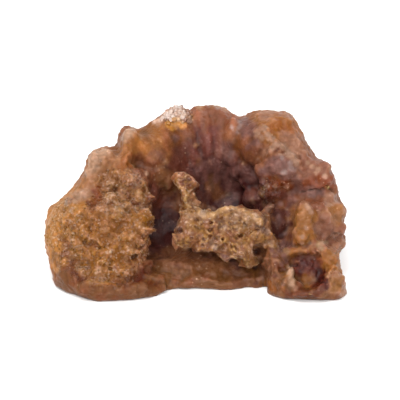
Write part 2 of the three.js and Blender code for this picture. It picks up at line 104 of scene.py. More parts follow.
# Small lumps that stand out of the skin: how proud they stand, and (across, up, half width, half height).
LUMPS = {
    "crust": (1.3, [
        (-21, -6, 3, 2.8), (-13.7, -4.1, 2.8, 2.1), (-15.7, -7.6, 2.3, 1.6), (-25.8, -12.4, 2.3, 1.8),
        (-20.1, -11.2, 1.4, 1.4), (-16.2, -10.6, 1.8, 1.4), (-22.1, -16.3, 3, 1.8),
        (-17.1, -15.4, 1.8, 1.6), (-14.3, -13.8, 1.4, 1.8), (-21.7, -13.5, 1.6, 1.1),
        (-25.8, -7.1, 1.6, 2.3), (-29, -4.4, 2.1, 2.3), (-29.7, -12.2, 1.6, 1.8),
        (-26.3, -15.8, 2.1, 1.4), (-21.2, -18.6, 3.2, 1.1), (-23.8, -2.8, 1.8, 1.8),
        (-18, -2.8, 2.1, 1.6), (-11.8, -2.3, 1.6, 1.4), (-19.6, 1.1, 1.6, 1.6), (-16.9, 2.3, 1.6, 1.6),
        (-13.4, 1.6, 1.6, 1.8), (-16.2, -0.7, 1.8, 1.4), (-12.7, 4.4, 1.4, 1.4),
        (-19.4, 4.4, 1.4, 1.4), (-24.9, -18.6, 2.1, 1.1),
    ]),
    "left_lobes": (0.5, [
        (-23.1, 10.3, 2.1, 2.1), (-24.4, 7.1, 1.6, 1.4), (-20.5, 11.2, 1.4, 1.6),
        (-18.2, 7.1, 1.4, 1.8), (-21.2, 5.3, 1.4, 1.6), (-25.8, 1.6, 1.8, 1.8), (-28.6, 0.5, 1.6, 1.6),
        (-23.1, 2.3, 1.1, 2.1),
    ]),
    "knob": (0.5, [
        (-15.3, 15.1, 2.1, 2.3), (-16.2, 12.2, 1.6, 1.8), (-16.6, 9.4, 1.4, 2.1),
    ]),
    "crown": (0.4, [
        (-6.1, 19.7, 1.6, 1.4), (-4.2, 20.9, 1.6, 1.4), (-2.9, 19.7, 1.4, 1.4), (-4.7, 18.6, 1.4, 1.4),
    ]),
    "bubbles": (0.4, [
        (-7, 9.4, 0.7, 0.7), (3.3, 9.2, 0.6, 0.6), (10.9, 9.4, 0.7, 0.7), (9.3, 9.9, 0.7, 0.7),
        (-0.1, 13.3, 0.6, 0.6), (-8.8, 7.6, 1.1, 1.1), (-13, 5, 0.9, 0.9), (-11.4, 6.9, 1.1, 0.9),
    ]),
    "left_wall": (0.8, [
        (-10.2, 3, 1.8, 3.2), (-10.7, 9.9, 2.1, 2.1), (-6.5, 5.3, 1.4, 2.8),
    ]),
    "ridge": (0.6, [
        (15, 17.7, 0.9, 0.9), (16, 16.3, 1.1, 0.9), (16.9, 14.9, 0.9, 1.1), (18, 13.5, 0.9, 1.1),
        (19.4, 13.1, 0.9, 1.1), (20.8, 11.9, 1.4, 0.9), (22.1, 10.8, 1.1, 0.9), (23.1, 9.4, 0.9, 1.1),
        (13.7, 16.1, 1.1, 1.1), (14.3, 13.5, 1.4, 1.6), (17.3, 11.7, 1.4, 1.1), (23.8, 7.8, 0.9, 0.9),
        (16.4, 9.4, 1.4, 1.4),
    ]),
    "block": (0.4, [
        (17.3, 20.4, 2.3, 1.4), (20.1, 18.6, 2.1, 1.6), (15, 20, 1.8, 1.4), (21.5, 15.8, 1.8, 1.4),
        (20.1, 14.7, 2.1, 1.1), (23.1, 13.1, 1.8, 1.4), (24.4, 11.2, 1.1, 1.4),
    ]),
    "purple": (0.4, [
        (18.2, 8.5, 2.5, 1.8), (16.4, 6.9, 1.6, 1.6), (20.8, 7.1, 1.8, 1.6), (23.1, 6.2, 1.4, 1.6),
        (20.1, 5.3, 1.6, 1.4),
    ]),
    "drusy": (0.6, [
        (16.9, 3.7, 1.1, 1.1), (18.7, 4.1, 1.1, 1.1), (20.8, 3.9, 1.1, 1.1), (15.5, 3.9, 0.7, 0.9),
    ]),
    "red": (0.5, [
        (26.5, 7.6, 2.5, 2.8), (29.5, 5.7, 2.3, 2.3), (27.9, 4.1, 2.8, 1.4), (29.7, 8, 1.6, 1.8),
        (24.9, 9.9, 1.6, 1.6),
    ]),
    "ledge": (0.6, [
        (26.5, 1.4, 3.7, 1.4), (30, 1.1, 2.1, 1.6), (23.1, 0.7, 1.8, 1.6), (31.3, 3, 1.4, 1.6),
    ]),
    "yellow": (0.6, [
        (24.7, -0.9, 1.6, 1.1), (25.8, -2.3, 1.4, 1.1), (24, -3, 1.4, 1.4), (25.4, -4.4, 1.4, 1.4),
        (23.8, -5.3, 1.4, 1.4), (25.8, -6.4, 1.6, 1.4), (24.2, -8, 1.8, 1.4), (22.8, -6.9, 1.1, 1.4),
        (26.5, -8.3, 1.1, 0.9), (27, -3.9, 1.1, 1.4),
    ]),
    "fingers": (0.7, [
        (23.3, -11.2, 1.6, 0.9), (26.3, -11.2, 1.6, 1.1), (25.1, -11.2, 0.9, 0.9),
    ]),
    "smooth_right": (0.4, [
        (29.3, -3.4, 2.3, 2.3), (29.3, -7.1, 2.3, 2.3),
    ]),
    "edge": (0.45, [
        (32.5, -1.8, 2.3, 2.3), (32.7, -5.7, 2.1, 2.1), (32.9, -9.2, 1.8, 1.6), (31.6, -9.9, 1.8, 1.6),
    ]),
    "orange": (0.5, [
        (30.9, -13.5, 2.3, 2.3), (29.3, -12.6, 1.4, 1.4), (31.6, -15.4, 1.4, 1.4),
    ]),
    "white_spot": (0.7, [
        (28.3, -9.4, 1.4, 0.8),
    ]),
    "corner": (0.35, [
        (32.7, -17.7, 1.8, 1.8), (32, -20.2, 1.8, 1.4), (32.9, -15.8, 1.1, 1.1),
    ]),
    "niche": (3.4, [
        (25.1, -15.8, 5, 4.8),
    ]),
    "pale_column": (0.8, [
        (21.5, -17.2, 1.4, 3), (21.7, -15.4, 0.9, 1.1), (21.9, -19, 0.9, 1.1), (19.9, -12.6, 2.1, 1.6),
        (18.2, -13.5, 1.8, 1.6), (21.5, -11.2, 1.4, 1.4), (18.2, -17, 1.6, 1.4),
        (19.9, -18.6, 1.4, 1.4),
    ]),
    "foot_right": (0.3, [
        (20.1, -20.4, 2.1, 0.9), (23.8, -20.9, 2.1, 0.9), (27.9, -21.1, 2.1, 0.9),
    ]),
    "hollow_right": (3.5, [
        (18.9, -4.4, 2.1, 3.7),
    ]),
    "shelf": (0.4, [
        (-10.2, -17.7, 3.2, 1.6), (-3.3, -16.1, 3, 1.4), (3.6, -16.3, 3.2, 1.4),
        (10.4, -15.8, 3.2, 1.8), (13.7, -18.6, 1.8, 1.4), (-7, -14.9, 2.1, 1.1),
        (7.2, -18.6, 2.1, 1.1),
    ]),
    "left_foot": (0.3, [
        (-24.4, -20, 3.7, 1.4), (-30, -16.1, 2.1, 2.1), (-18, -20.4, 2.8, 1.4),
        (-32.2, -8.5, 1.4, 2.8), (-13, -19.3, 2.1, 1.4), (-8.4, -19.5, 1.8, 1.1),
    ]),
    "horn": (0.4, [
        (-3.6, 5, 1.6, 1.4), (-1.5, 4.4, 1.4, 1.4), (-2.9, 3.7, 1.4, 1.1), (-2.4, 1.6, 1.1, 1.1),
        (-1.7, -0.2, 1.1, 1.1),
    ]),
    "bridge": (0.5, [
        (-0.1, -2.5, 1.8, 1.1), (2.2, -3, 1.4, 1.1), (-1, -5.7, 1.6, 1.8), (-3.3, -9, 1.6, 1.1),
        (0.8, -8, 1.8, 1.6), (4.9, -9.4, 1.6, 1.4), (6.8, -2.5, 2.3, 1.4), (6.8, -5.7, 1.8, 1.8),
        (11.4, -3.9, 2.1, 1.6), (11.4, -9.9, 1.4, 2.1), (9.1, -11.7, 1.6, 0.9), (14.1, -4.4, 1.4, 1.1),
        (15, -7.3, 1.4, 1.8), (4, -5.7, 0.9, 2.1), (10, -5.7, 1.8, 1.6), (11.6, -13.5, 0.7, 1.4),
    ]),
    "cavity": (1, [
        (12.7, 0.9, 1.1, 1.1), (15, 2.5, 1.1, 1.6), (14.1, 3.7, 0.9, 0.9),
    ]),
    "niche_lumps": (1.3, [
        (28.1, -14, 1.6, 2.1), (25.4, -17.9, 1.6, 2.1), (23.5, -19, 0.9, 1.1), (28.8, -19, 0.9, 0.9),
        (23.3, -13.5, 1.1, 0.9),
    ]),
    "fold": (1.7, [
        (8.4, 15.8, 2.1, 4.1), (8.1, 11.7, 2.3, 3.4), (9.1, 8, 1.8, 2.8),
    ]),
    "frame": (0.7, [
        (19.6, -11.5, 1.1, 0.9), (18, -12.9, 1.1, 1.1), (20.8, -13.1, 0.9, 0.9), (27.4, -11, 0.9, 0.9),
        (29.5, -10.8, 1.1, 0.9), (16.9, -14.9, 0.9, 0.9), (18.5, -15.4, 0.9, 0.9),
        (22.4, -12.6, 0.9, 0.7),
    ]),
    "fill": (3.2, [
        (11.4, 8, 2.1, 2.1), (13.2, 6.4, 1.8, 2.1), (11.6, 5, 1.8, 1.8), (14.6, 7.6, 1.6, 1.8),
        (15.5, 5.3, 1.4, 1.8),
    ]),
}

# Hollows cut into the skin: (across, up, half width, half height, depth).
HOLLOWS = [
    (14.9, -11.4, 1.2, 2.4, 2.2), (-10.9, -7.5, 1.2, 0.7, 1), (-12.2, -9.8, 1.1, 0.6, 1),
    (-13.8, -12.4, 1.2, 0.7, 1),
]

# Flakes along the left crust's right edge: (across, up, out, half width, half height, half depth).
FLAKES = [
    (-11.2, -6, 9.5, 2.3, 0.8, 2.2), (-12.8, -8.5, 11, 2.1, 0.75, 2), (-14, -11.1, 11, 2.1, 0.8, 2),
    (-14.2, -14, 10.5, 1.6, 0.8, 2), (-15.6, -16.2, 11, 2.1, 0.8, 2), (-11.8, -3.2, 8.5, 2.2, 1, 2),
]

# Pits of the crusts, deep ones and shallow ones: (across, up, radius).
DEEP_PITS = [
    (-23.3, -9.6, 0.9), (-24.2, -9.6, 0.6), (-22.4, -10.1, 0.6), (3.1, -4.1, 0.6), (3.3, -6, 0.6),
    (3.3, -7.6, 0.6), (1.7, -8.3, 0.7), (9.1, -9.9, 0.9), (8.1, -10.1, 0.6), (5.9, -8.3, 0.6),
    (-19.2, -14.7, 0.7), (-19.2, -13.5, 0.5), (10.2, -7.3, 0.7), (9.1, -7.8, 0.5),
    (-11.8, -7.6, 0.6), (-13.2, -10.1, 0.6), (-14.3, -12.4, 0.6), (14.3, -11.5, 1.1),
    (14.3, -12.9, 0.9), (16.4, -12.2, 0.7),
]
PITS = [
    (-0.1, -3.7, 0.6), (3.8, -5.3, 0.5), (1.7, -9.9, 0.5), (0.3, -9.2, 0.5), (-1, -7.6, 0.5),
    (8.8, -5.7, 0.5), (8.4, -11.2, 0.5), (9.5, -12.2, 0.5), (7.5, -6.4, 0.5), (4.2, -9.4, 0.5),
    (11.4, -4.6, 0.6), (-1.5, -9, 0.6), (-2.9, -9.6, 0.5), (10.7, -13.5, 0.5), (5.9, -3.4, 0.7),
    (-0.1, -0.9, 0.5), (-0.8, 2.3, 0.5), (6.8, -9.9, 0.5), (11.6, -8.5, 0.5), (12.3, -6.4, 0.5),
    (5.2, -5.3, 0.5), (1, -4.8, 0.5), (13.7, -6, 0.5), (7.7, -4.4, 0.5), (10, -3.4, 0.5),
    (15.3, -5.3, 0.5), (-28.8, -11.2, 0.5), (-18, -6.2, 0.5), (-21, -14, 0.5), (-25.4, -8.7, 0.5),
    (-15.7, -13.5, 0.5), (-18.9, -9.9, 0.5), (-20.1, 3.4, 0.5), (-31.3, -5.7, 0.5),
    (-14.8, -2.3, 0.5), (16.4, 13.8, 0.6), (16, 4.6, 0.7), (19.9, 3.4, 0.7), (17.8, 2.5, 0.9),
    (23.8, 10.6, 0.7), (-22.8, 0, 0.5), (-17.1, 10.6, 0.7),
]

# Creases between lobes: radius, and the points (across, up).
CREASES = [
    (0.39, [(21.7, -9.9), (23.1, -9.9), (24.2, -10.1), (25.4, -9.4), (26.3, -9)]),
    (0.37, [(19.4, -15.4), (20.5, -14.9), (21.7, -14.2), (22.8, -14)]),
    (0.25, [(23.8, 2.5), (25.6, 3), (27.9, 2.8), (30.2, 3.2), (32, 2.5)]),
    (0.34, [(33.2, -7.6), (32.2, -7.3)]),
    (0.34, [(33.4, -11), (32.2, -11.2)]),
    (0.23, [(32, -14.5), (30.6, -16.3), (30.9, -18.1)]),
    (0.34, [(-25.4, -9.2), (-24, -9.9), (-22.6, -9.6)]),
    (0.32, [(27, -10.3), (27.4, -11.5), (28.1, -12.6)]),
]

# Thin light rims along the bridge's edges and between its pits: radius, and the points (across, up).
RIM_LINES = [
    (0.46, [
        (-0.1, -1.1), (0.8, -2.1), (2, -2.8), (3.1, -3), (4, -2.5), (4.9, -1.8), (5.9, -1.4), (7, -1.1),
        (8.1, -1.1), (9.3, -1.6), (10.4, -1.8), (11.6, -2.3), (12.7, -2.8), (13.9, -3.4), (14.6, -4.1),
    ]),
    (0.28, [(-4.5, -9.9), (-3.1, -10.3), (-1.5, -10.1)]),
    (0.25, [(7.7, -12.2), (9.1, -12.6), (10.2, -12.9), (11.1, -13.1)]),
    (0.3, [(-2.4, 1.4), (-2.2, 0), (-1.5, -1.1)]),
]

# Where the fan's fine streaks show, and the point they run towards: (across, up, radius).
FAN = [(-4, 13, 5), (1, 14, 6), (5, 13, 6), (9, 12, 4), (2, 8, 5), (-3, 8, 4), (-9, 14, 4), (7, 7, 4)]
FAN_FOOT = (4.2, -6)

# Walls of the hollows that are smoother than the rest: (across, up, radius).
CALM = [
    (-8.5, -3, 3.5), (-7, -8, 3.5), (-9, -11, 2.5), (7, 3, 4), (9, 0, 3), (3, 4, 4), (13, 6, 3),
    (19, -4.5, 3), (18.5, -8, 2),
]

# Where the crust of small quartz points grows: (across, up, radius).
CRUST_LEFT = [
    (-22.1, -1.6, 3.2), (-17.5, -0.5, 3.7), (-13, -2.8, 2.8), (-24.4, -5, 3.2), (-19.9, -5, 4.1),
    (-14.1, -6.7, 3.7), (-10.9, -4.6, 1.8), (-23.3, -10.8, 4.1), (-17.5, -10.8, 4.1), (-13.4, -10.8, 2.3),
    (-22.1, -15.8, 3.2), (-17.5, -15.4, 3.2), (-27.9, -8.5, 2.6), (-19.4, 4.1, 2.8), (-15.3, 3.4, 3.2),
    (-12, 1, 2), (-19.9, 1.1, 2.3),
]
CRUST_BRIDGE = [
    (-1.5, -2.8, 2.8), (-2.6, -7.3, 2.3), (2, -5, 3.2), (2, -9.6, 1.8), (6.5, -4.4, 3.2), (7.2, -9, 3.2),
    (11.1, -5, 3.2), (11.1, -9.6, 2.8), (15, -5, 2.3), (14.1, -8.5, 1.8), (12.7, -13.5, 1.4),
    (17.3, -8.5, 1.4), (19.2, -10.1, 1.2), (-2.6, 4.6, 2.3), (-1.7, 1.1, 1.6),
]
CRUST_FINE = [
    (-30.2, -2.8, 2.8), (-31.3, -7.3, 2.8), (-29, -12, 2.8), (-26.7, -15.4, 2), (16.9, 2.5, 2),
]
CROWN = [(-6.1, 19.6, 1.4), (-4.5, 20.6, 1.6), (-2.9, 19.8, 1.4)]

# ---- relief ---------------------------------------------------------------------------------

WALLS = {"weight_1": -1, "weight_2": 1}  # settings of a cell pattern whose marks are its walls

# Relief of a solid texture, all over one part of the stone: name, texture, size of its marks, how far it
# pushes, the part of the stone, the texture's value that moves nothing, and its other settings.
RELIEF = [
    ("swell", "CLOUDS", 3.2, 0.55, "all", 0.5, {"noise_depth": 1}),
    ("knobs", "VORONOI", 2.4, 0.4, "bare", 0.4, WALLS),
    ("facets", "VORONOI", 1.3, -0.35, "bare", 0.4, {"distance_metric": "MANHATTAN"}),
    ("left_buds", "VORONOI", 2.6, -0.65, "left", 0.4, {}),
    ("left_grit", "VORONOI", 1.2, -0.2, "left", 0.4, {}),
    ("bridge_pits", "VORONOI", 1.8, -0.6, "bridge", 0.3, WALLS),
    ("bridge_grit", "CLOUDS", 0.6, 0.2, "bridge", 0.5, {"noise_depth": 1}),
    ("fine_grit", "VORONOI", 0.9, 0.25, "fine", 0.4, WALLS),
    ("grain", "CLOUDS", 0.9, 0.22, "all", 0.5, {"noise_depth": 2}),
]

PUSHED = {"deep_pits": -0.75, "pits": -0.3, "rims": 0.2}  # how far these marks move the skin

# ---- quartz points --------------------------------------------------------------------------

# Points to plant, for a width of one millimetre: name, length of the shaft, length and lean of the tip.
POINT_KIT = [("stubby", 0.55, 0.5, 0.1), ("sharp", 0.7, 0.8, -0.08), ("blunt", 0.6, 0.35, 0.16)]
POINT_SUNK = 0.3  # how deep a point of that width stands in the skin

# Crusts of points: name, part of the stone, least distance, least and most width, tilt, seed and finish.
DRUSES = [
    ("citrine_left_druse", "left", 0.75, (0.3, 0.6), 0.5, 11, "quartz_points"),
    ("citrine_bridge_druse", "bridge", 1, (0.25, 0.45), 0.7, 17, "quartz_points"),
    ("citrine_fine_druse", "fine", 0.6, (0.3, 0.55), 0.7, 23, "quartz_points"),
    ("citrine_crown_points", "crown", 0.55, (0.7, 1.3), 0.9, 29, "clear_quartz"),
]

# ---- colours --------------------------------------------------------------------------------

TONE = np.array((0.62, 0.55, 0.44))  # how much of the light each colour keeps, red, green and blue


def colour(red, green, blue):
    """A surface colour from its values on a screen, 0 to 255."""
    return TONE * np.array([(value / 255) ** 2.2 for value in (red, green, blue)])


COLOURS = {
    "honey": colour(180, 125, 65), "amber": colour(150, 98, 50), "tawny": colour(145, 92, 25),
    "fawn": colour(145, 95, 45), "cedar": colour(124, 74, 42), "bark": colour(95, 45, 12),
    "russet": colour(115, 75, 42), "mahogany": colour(92, 34, 10), "peach": colour(160, 125, 108),
    "redwood": colour(115, 54, 18), "ash": colour(140, 98, 60), "umber": colour(114, 73, 50),
    "rose": colour(168, 136, 118), "copper": colour(155, 110, 78), "gold": colour(145, 88, 38),
    "rosewood": colour(125, 77, 55), "bronze": colour(128, 84, 52), "maroon": colour(100, 52, 42),
    "heather": colour(118, 82, 78), "brick": colour(133, 82, 58), "pearl": colour(148, 126, 130),
    "damson": colour(75, 38, 38), "fig": colour(55, 15, 14), "salmon": colour(152, 111, 94),
    "sand": colour(150, 118, 104), "cinnabar": colour(126, 65, 34), "terracotta": colour(135, 90, 72),
    "chalk": colour(158, 134, 132), "tan": colour(130, 95, 65), "pewter": colour(116, 86, 73),
    "straw": colour(143, 94, 43), "cream": colour(144, 118, 90), "straw_highlight": colour(215, 178, 100),
    "wine": colour(104, 53, 46), "painted_glow": colour(198, 140, 65), "frost": colour(222, 192, 186),
    "bone": colour(158, 118, 88), "dusk": colour(122, 75, 57), "toast": colour(134, 92, 46),
    "cocoa": colour(114, 70, 38), "plum": colour(112, 75, 74), "khaki": colour(100, 61, 17),
    "pit_shade": colour(120, 70, 34), "rim_pale_and_highlight": colour(212, 175, 130),
}

# Washes of colour over the seen side, laid one over the other: (across, up, radius). Most are the stone's
# own colours; some, marked below, are painted shade, shadow, highlights and light through thin edges.
WASHES = [
    ("honey", [(-31.3, -5, 6.9), (-29, 0.7, 5.7)]),
    ("tawny", [(-22.1, -10.8, 7.8)]),
    ("copper", [(-22.1, 7.6, 6.4)]),
    ("amber", [(-10.7, 13.3, 6)]),
    ("brick", [(3.1, 19.5, 6)]),
    ("amber", [(19.2, 18.6, 6.4)]),
    ("terracotta", [(28.8, 7.6, 5.5), (31.1, -4.4, 6)]),
    ("copper", [(30.6, -17.2, 5.5)]),
    ("russet", [
        (-26.7, -20.4, 6), (-17.6, -20.9, 5.5), (-8.4, -18.8, 5.5), (0.8, -18.8, 5.5),
        (11.1, -17.7, 5), (21.5, -21.1, 5.5),
    ]),
    # The dark purple-brown of the hollows under the fan and left of the bridge: partly the stone's
    # colour, partly painted shade.
    ("maroon", [(0.8, 8.7, 5.5), (7.7, 6.4, 6), (13.4, 3, 4.6)]),
    ("damson", [(-7.2, -6.2, 4.6), (6.5, 1.8, 5)]),
    ("honey", [
        (-33.6, -7.6, 2.3), (-33.6, -4.4, 2.1), (-32.7, -1.6, 2.1), (-31.3, 0, 1.8),
        (-33.2, -10.3, 1.8), (-30, -0.5, 2.1),
    ]),
    ("honey", [(-30.6, -3.4, 3.7), (-31.3, -7.6, 2.8), (-27.7, -0.5, 2.8), (-29, -9.9, 2.3)]),
    ("amber", [
        (-21, -6, 3.7), (-17.6, -7.6, 3.2), (-24.4, -8, 2.8), (-19.4, -10.8, 2.3), (-22.1, -13.5, 2.8),
    ]),
    ("tawny", [
        (-13.9, -4.4, 2.8), (-11.6, -3.2, 1.8), (-25.8, -12.2, 2.5), (-27.2, -10.8, 1.4),
        (-22.1, -16.3, 2.8), (-19.4, -13.5, 1.6), (-17.6, -14.9, 2.1), (-18, -11.2, 1.6),
        (-24, -14.9, 2.1),
    ]),
    ("fawn", [
        (-25.8, -6.7, 2.1), (-19.4, -3, 2.3), (-15.3, -2.5, 1.8), (-16.2, -10.8, 1.8),
        (-21.2, -18.6, 2.8), (-24.9, -2.8, 1.6), (-28.6, -4.8, 1.4), (-26.3, -16.1, 1.6),
    ]),
    ("cedar", [
        (-30, -9.2, 1.4), (-30.4, -12.2, 1.6), (-29, -13.5, 1.8), (-29.5, -15.4, 2.1),
        (-27.9, -17, 1.6), (-24.4, -19.3, 2.3), (-21, -20.2, 1.8), (-17.6, -19.5, 2.1),
        (-14.3, -13.5, 1.8), (-24, -0.9, 1.4),
    ]),
    ("bark", [
        (-26.3, -17.7, 1.1), (-24, -18.6, 0.9), (-28.1, -15.8, 0.9), (-15.7, -17.9, 1.4),
        (-17.1, -18.4, 1.1),
    ]),
    ("russet", [
        (-31.3, -13.5, 1.4), (-30, -18.4, 2.1), (-26.7, -20.2, 2.1), (-23.3, -21.3, 2.1),
        (-18.7, -21.3, 2.1), (-13, -20.2, 2.3), (-8.8, -20, 1.8), (-31.3, -16.3, 1.4),
    ]),
    ("mahogany", [(-12.5, -16.8, 1.8), (-10.7, -14.9, 1.6), (-14.3, -17.2, 1.4), (-10.2, -18.1, 1.4)]),
    ("peach", [(-25.8, 1.6, 1.6), (-27.7, 1.6, 1.4), (-29.5, 0.5, 1.1)]),
    ("redwood", [(-23.1, 3, 1.1), (-22.8, 1.1, 1.1), (-23.5, -0.5, 1.1), (-24.9, 0, 0.7)]),
    ("ash", [
        (-19.4, 1.8, 1.8), (-17.6, -0.7, 1.8), (-13.4, 1.6, 1.6), (-16.2, 2.3, 1.4), (-11.8, 3.4, 1.1),
        (-19.4, 4.6, 1.4), (-13, 4.4, 1.1), (-18.2, -2.5, 1.1), (-20.3, -2.1, 1.1), (-15.3, -0.5, 1.4),
    ]),
    ("umber", [
        (-14.3, -0.2, 0.7), (-20.3, -0.7, 0.7), (-15.7, 1.1, 0.5), (-18.5, 3.7, 0.7),
        (-14.8, 3.9, 0.9),
    ]),
    ("rose", [
        (-22.6, 11, 2.1), (-24, 9.2, 1.6), (-21.2, 12.2, 1.4), (-24.9, 7.1, 1.4), (-23.1, 7.1, 1.6),
        (-15.7, 16.5, 1.8), (-16.2, 14.5, 1.6),
    ]),
    ("copper", [
        (-20.3, 9, 1.6), (-21.7, 5.7, 1.8), (-24, 4.8, 1.6), (-18.2, 7.1, 1.6), (-19.9, 6.7, 1.1),
    ]),
    ("amber", [
        (-16.6, 12.6, 1.6), (-14.3, 12.2, 1.6), (-12.5, 14.5, 1.8), (-10.7, 15.8, 2.1),
        (-11.8, 12.2, 2.1), (-9.3, 13.1, 2.1), (-14.8, 14, 1.4), (-8.8, 16.5, 1.6),
    ]),
    # The gold of the finger below the knob, and under the crown painted light shining through thin
    # quartz.
    ("gold", [
        (-16.4, 9.9, 1.1), (-15.7, 8.5, 0.9), (-17.3, 8.3, 0.9), (-15, 10.8, 0.7), (-5.2, 17.9, 1.6),
        (-4.7, 18.8, 1.1), (-6.5, 18.1, 0.9),
    ]),
    ("rosewood", [
        (-10.7, 8.7, 2.3), (-12.5, 7.6, 1.8), (-8.8, 10.8, 1.8), (-13.4, 9.9, 1.4), (-9.5, 6.4, 2.1),
        (-11.4, 5.7, 1.6),
    ]),
    ("bronze", [
        (-8.4, 5.3, 1.6), (-7.7, 7.6, 1.4), (-10, 10.6, 1.1), (-7.9, 3, 1.6), (-6.5, 3.9, 1.4),
    ]),
    ("maroon", [
        (-9.3, 1.8, 2.1), (-10.2, 3.9, 1.4), (-8.8, -0.5, 1.8), (-10.7, 0.7, 1.1), (-5.6, 1.6, 1.6),
        (-7, -0.5, 1.6),
    ]),
    ("cedar", [(-5.6, 15.8, 2.1), (-2.9, 17.2, 1.8), (-3.8, 13.8, 1.8), (-6.5, 13.1, 1.6)]),
    ("maroon", [
        (-4.2, 11, 2.1), (-1.5, 13.1, 1.8), (-0.1, 9.9, 2.3), (-2.9, 8, 2.1), (1.7, 11.7, 2.1),
        (-5.2, 8.7, 1.6),
    ]),
    ("wine", [
        (0.3, 16.8, 1.4), (0.8, 14.9, 1.4), (3.8, 14.9, 2.1), (4, 17.2, 1.4), (3.3, 13.1, 1.6),
        (2.2, 11.7, 1.4), (-0.1, 12.2, 1.1),
    ]),
    ("heather", [(-4.7, 14.9, 0.9), (7.2, 13.1, 1.8), (7.7, 10.8, 1.8), (6.3, 11.7, 1.6)]),
    ("brick", [
        (2.2, 21.3, 2.3), (5.4, 20.7, 2.3), (8.1, 19.7, 1.8), (-0.1, 20.4, 1.6), (-0.1, 18.6, 1.4),
        (3.6, 19.5, 1.8), (-1.5, 16.1, 0.9), (9.5, 18.6, 0.9),
    ]),
    # Painted warm light along the thin top edge of the wall, where light comes through.
    ("copper", [
        (0.8, 22.3, 1.1), (3.6, 22.5, 1.1), (6.8, 21.8, 1.1), (-1.3, 19.5, 0.9), (9.1, 20.9, 0.9),
    ]),
    ("pearl", [
        (9.8, 17.4, 0.7), (10.4, 18.6, 0.9), (11.1, 19.3, 0.7), (9.3, 16.1, 0.5), (8.1, 17.4, 0.5),
        (7.5, 21.3, 0.7), (4.9, 22, 0.7),
    ]),
    # The hollow under the fan, which the fill lumps make shallower: dark colours partly the stone's,
    # partly painted shade.
    ("damson", [
        (-0.1, 7.1, 1.8), (3.1, 9, 1.8), (5.4, 8.5, 1.8), (7.7, 7.6, 1.8), (1.7, 4.4, 1.8),
        (0.8, 1.6, 1.8), (10, 6.2, 1.8), (6.5, 4.8, 2.1), (10.9, 4.4, 2.1), (9.1, 1.6, 2.1),
        (11.4, -0.5, 1.8), (6.8, 0.2, 2.1), (3.6, -0.2, 1.6), (13.2, 5.7, 1.4), (13.7, -0.7, 1.4),
        (15, -1.1, 1.1),
    ]),
    ("umber", [
        (4, 5.7, 1.4), (3.8, 3.4, 1.4), (2.9, 4.6, 1.1), (4.5, 1.6, 1.1), (11.4, 9.2, 1.1),
        (12.7, 9.9, 0.9), (0.8, 9.4, 0.9), (5.9, 1.8, 0.9), (2.2, 7.6, 0.7),
    ]),
    ("fig", [(7.7, 3, 1.6), (10.9, 5.3, 1.4), (12.3, 6.2, 1.1), (0.3, 3, 1.1), (9.5, -0.2, 1.4)]),
    ("cedar", [
        (10, 14, 1.6), (11.8, 12.2, 1.6), (10, 11.7, 1.1), (12.7, 14.5, 1.4), (14.1, 15.4, 1.1),
        (8.4, 15.6, 0.9), (8.8, 12.6, 0.7),
    ]),
    ("heather", [
        (12.3, 17.2, 1.8), (10.9, 16.3, 1.1), (11.4, 18.6, 1.1), (12.7, 13.1, 1.1), (13.7, 12.2, 1.1),
    ]),
    ("amber", [
        (15, 20, 1.8), (17.8, 20.4, 1.8), (20.3, 20.4, 1.6), (21.9, 19, 1.4), (15, 13.5, 1.1),
        (21.5, 17.2, 1.4), (16.4, 14.9, 0.7),
    ]),
    ("gold", [
        (18.7, 17.4, 1.6), (20.5, 16.8, 1.4), (22.4, 17, 1.1), (17.3, 16.8, 0.9), (19.6, 18.8, 1.1),
    ]),
    ("salmon", [
        (20.1, 14.9, 1.6), (22.4, 14.5, 1.6), (23.8, 12.2, 1.4), (21.5, 13.1, 1.1), (23.3, 15.4, 1.1),
        (25.1, 11, 1.1), (14.1, 16.8, 0.9), (15.3, 11.7, 1.1), (16.4, 12.2, 1.1),
    ]),
    ("sand", [
        (13.7, 15.8, 0.9), (15.5, 17.2, 0.9), (16.2, 15.8, 0.7), (17.1, 14.9, 0.9), (18, 13.5, 0.7),
        (17.3, 12.6, 0.7), (19.2, 13.1, 0.9), (20.1, 12.9, 0.9), (21, 11.9, 0.9), (22.1, 10.8, 1.1),
        (20.5, 11.2, 0.9), (22.8, 9.4, 0.9), (23.5, 8, 0.7), (19.4, 10.8, 0.7), (15, 14.9, 0.7),
    ]),
    ("bark", [(18.7, 12.4, 0.5), (18.2, 11.9, 0.5), (19.9, 11.7, 0.5), (21.2, 9.6, 0.5)]),
    ("heather", [
        (17.8, 8.5, 2.1), (20.1, 9.2, 1.6), (16.4, 7.1, 1.4), (21.7, 7.1, 1.6), (20.1, 6.2, 1.4),
        (23.3, 5.3, 1.4), (18.7, 9.9, 1.1),
    ]),
    ("pearl", [
        (20.1, 7.1, 0.7), (21.5, 9.2, 0.7), (21.7, 8, 0.7), (22.8, 7.6, 0.5), (19.6, 10.3, 0.5),
        (23.8, 7.1, 0.5),
    ]),
    ("redwood", [
        (16.9, 3.9, 1.1), (18.7, 4.4, 1.1), (20.5, 4.4, 1.1), (16.4, 5.7, 0.9), (22.1, 3.4, 0.9),
        (19.9, 2.3, 1.1),
    ]),
    ("salmon", [(16, 3.9, 0.7), (15.3, 6.2, 0.7), (20.8, 3.7, 0.5), (14.1, 9.9, 0.5), (18, 3.9, 0.5)]),
    ("maroon", [
        (17.8, 1.6, 1.4), (20.1, 1.6, 1.4), (22.4, 2.5, 1.1), (16, 0.7, 1.1), (13.7, 3.9, 0.9),
        (15, 5.7, 0.7),
    ]),
    ("cinnabar", [
        (26.5, 4.8, 1.8), (28.8, 4.6, 1.8), (30.6, 4.6, 1.4), (31.3, 6.7, 1.4), (24.9, 4.4, 0.9),
        (27.4, 6.2, 1.4),
    ]),
    ("terracotta", [
